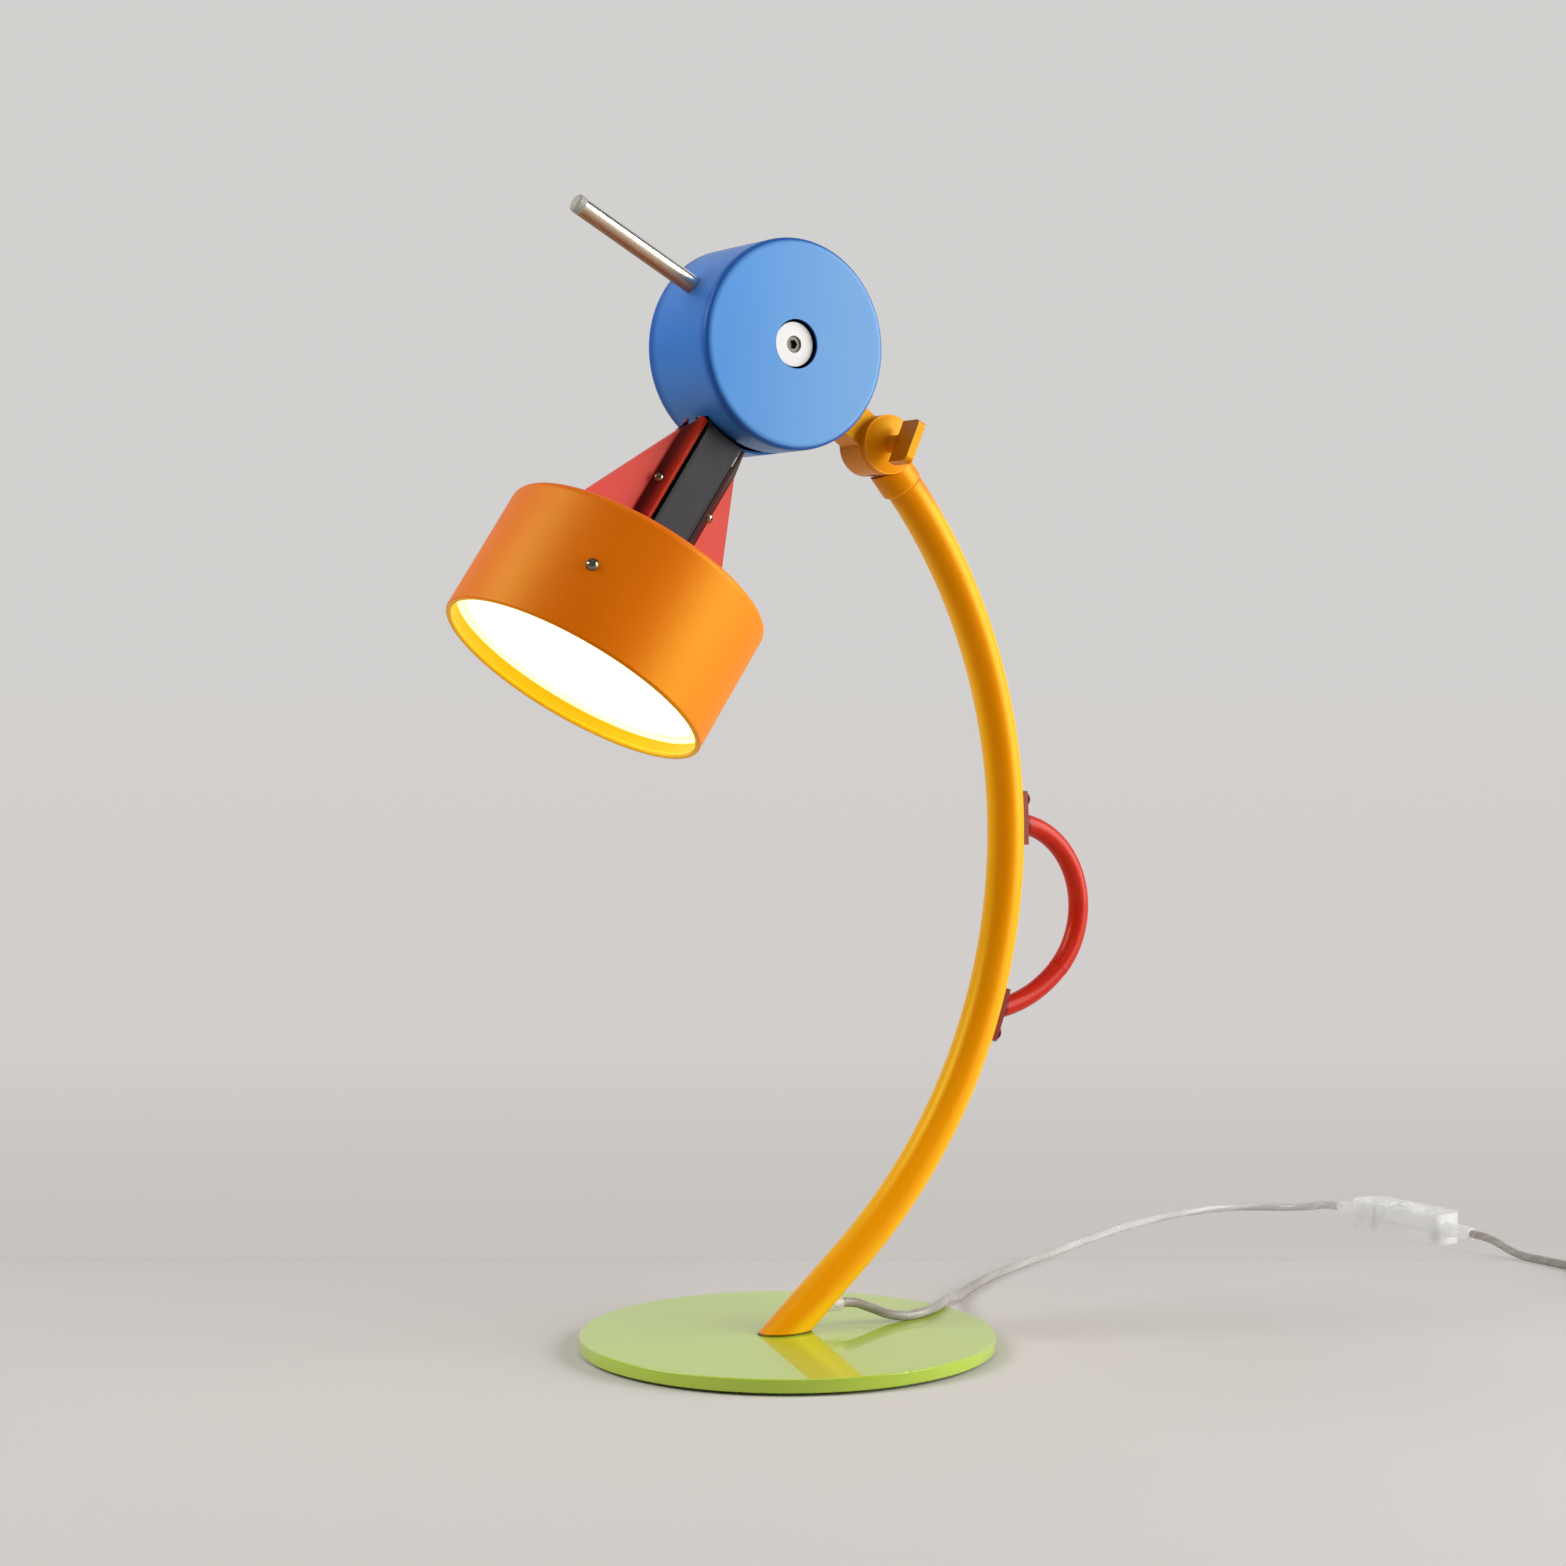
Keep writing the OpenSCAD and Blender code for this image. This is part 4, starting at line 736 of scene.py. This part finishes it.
sheet = bmesh.new()
ends = [sheet.verts.new(ahead * FLOOR_FRONT + aside * side) for side in (-HALF_WIDTH, HALF_WIDTH)]
edge = draw_out(sheet, [sheet.edges.new(ends)], ahead * (FLOOR_BACK - FLOOR_FRONT))
hinge = ahead * FLOOR_BACK + Vector((0, 0, COVE))
cove = bmesh.ops.spin(sheet, geom=edge + [v for e in edge for v in e.verts], cent=hinge, axis=aside,
                      angle=math.pi / 2, steps=COVE_STEPS, use_duplicate=False)
draw_out(sheet, only_edges(cove["geom_last"]), Vector((0, 0, WALL_HEIGHT)))
bmesh.ops.recalc_face_normals(sheet, faces=sheet.faces)
for face in sheet.faces:
    face.smooth = True
stage_mesh = bpy.data.meshes.new("stage")
sheet.to_mesh(stage_mesh)
sheet.free()
stage = bpy.data.objects.new("stage", stage_mesh)
scene.collection.objects.link(stage)
print("stage:", len(stage_mesh.polygons), "faces")

# %% [markdown]
# Near the lamp the paper is plain and takes its shadow. Far behind it, a wall would need lamps of its
# own, so there the paper shows a pale glow instead, to the camera and to reflections only: it lights
# nothing. The far floor on the other sides glows for the camera alone. A faint darker line is painted
# across the glow behind the base, a painted shade as along a crease in the paper.

# %% Pale paper
GLOW_FADE = (0.12, 0.32)
FLOOR_FADE = (0.8, 1.6)
DISTANCE_FADE = (0.2, 1.5)
HEIGHT_FADE = (0, 0.6)
CREASE_BEHIND = 0.244
CREASE_HALF = 0.012
CREASE_SHADE_SHARE = 0.5

paper = Finish("pale_paper")
paper.set({
    "Base Color": paper.mix(paper.noise(scale=3, detail=3), colour(209, 205, 201), colour(206, 202, 198)),
    "Roughness": 0.85,
    "Specular IOR Level": 0.2,
})
to_camera, to_gloss, to_glass = [paper.node("ShaderNodeLightPath", out="Is %s Ray" % ray)
                                 for ray in ("Camera", "Glossy", "Transmission")]
behind = paper.along(tuple(ahead))
around = paper.from_axis((0, 0, 1), (0, 0, 0))
floor_tone = paper.mix(behind.between(*DISTANCE_FADE), colour(199, 195, 190), colour(210, 206, 204))
wall_tone = paper.mix(paper.along((0, 0, 1)).between(*HEIGHT_FADE), floor_tone, colour(210, 209, 207))
# Painted shade: a faint darker line across the glow, as along a crease.
crease_shade = 1 - (behind - CREASE_BEHIND).maths("ABSOLUTE").between(0, CREASE_HALF)
glow_tone = paper.mix(CREASE_SHADE_SHARE * crease_shade, wall_tone, colour(188, 184, 178))
glow = paper.node("ShaderNodeEmission", None, {"Color": glow_tone})
wall_seen = behind.between(*GLOW_FADE) * (to_camera + to_gloss + to_glass).maths("MINIMUM", 1)
floor_seen = around.between(*FLOOR_FADE) * to_camera
glowing = wall_seen.maths("MAXIMUM", floor_seen)
mixed = paper.node("ShaderNodeMixShader", None, {0: glowing, 1: paper.skin, 2: glow})
paper.put(paper.tree.nodes["Material Output"].inputs["Surface"], mixed)
stage_mesh.materials.append(paper.material)
print("paper: plain near the lamp, glowing beyond")

# %% [markdown]
# Soft light as in a studio: a large box to the right that draws a broad highlight down the stem and the
# shade, a weaker one on the left, and small ones in front and overhead. They are area lamps, because the
# size of such a lamp sets how soft its highlights and shadows are.

# %% Light
LAMP_MIDDLE = Vector((0, 0, 0.3))
# Name, turn to the right of the camera and height in degrees, distance and size in metres, power in watts.
LIGHTS = [
    ("key_box", 84, 16, 1.9, 1.5, 46),
    ("fill_box", -80, 34, 2.2, 1.3, 34),
    ("front_box", 10, 35, 2.4, 1.2, 4),
    ("top_box", 0, 82, 2.2, 1.6, 4),
]


def soft_box(name, turn, up, distance, size, power):
    """A square soft light that points at the lamp's middle."""
    data = bpy.data.lights.new(name, "AREA")
    data.shape = "SQUARE"
    data.size = size
    data.energy = power
    light = bpy.data.objects.new(name, data)
    turn, up = math.radians(turn), math.radians(up)
    away = (aside * math.sin(turn) - ahead * math.cos(turn)) * math.cos(up) + Vector((0, 0, math.sin(up)))
    light.location = LAMP_MIDDLE + away * distance
    light.rotation_euler = (-away).to_track_quat("-Z", "Y").to_euler()
    scene.collection.objects.link(light)


for row in LIGHTS:
    soft_box(*row)

# %% [markdown]
# The room adds a faint even glow from all sides. Past the edge of the sheet, as seen from another side,
# it is as pale as the wall: a Light Path node tells the camera's rays from those that light the lamp.

# %% Room
ROOM_LIGHT = 0.14
ROOM_SEEN = 0.62

room = bpy.data.worlds.new("room")
room.use_nodes = True
room_nodes, room_links = room.node_tree.nodes, room.node_tree.links
background = room_nodes["Background"]
background.inputs["Color"].default_value = (1, 1, 1, 1)
rays = room_nodes.new("ShaderNodeLightPath")
strength = room_nodes.new("ShaderNodeMapRange")
strength.inputs["To Min"].default_value = ROOM_LIGHT
strength.inputs["To Max"].default_value = ROOM_SEEN
room_links.new(rays.outputs["Is Camera Ray"], strength.inputs["Value"])
room_links.new(strength.outputs[0], background.inputs["Strength"])
scene.world = room
print("room: lights at", ROOM_LIGHT, "and is seen at", ROOM_SEEN)
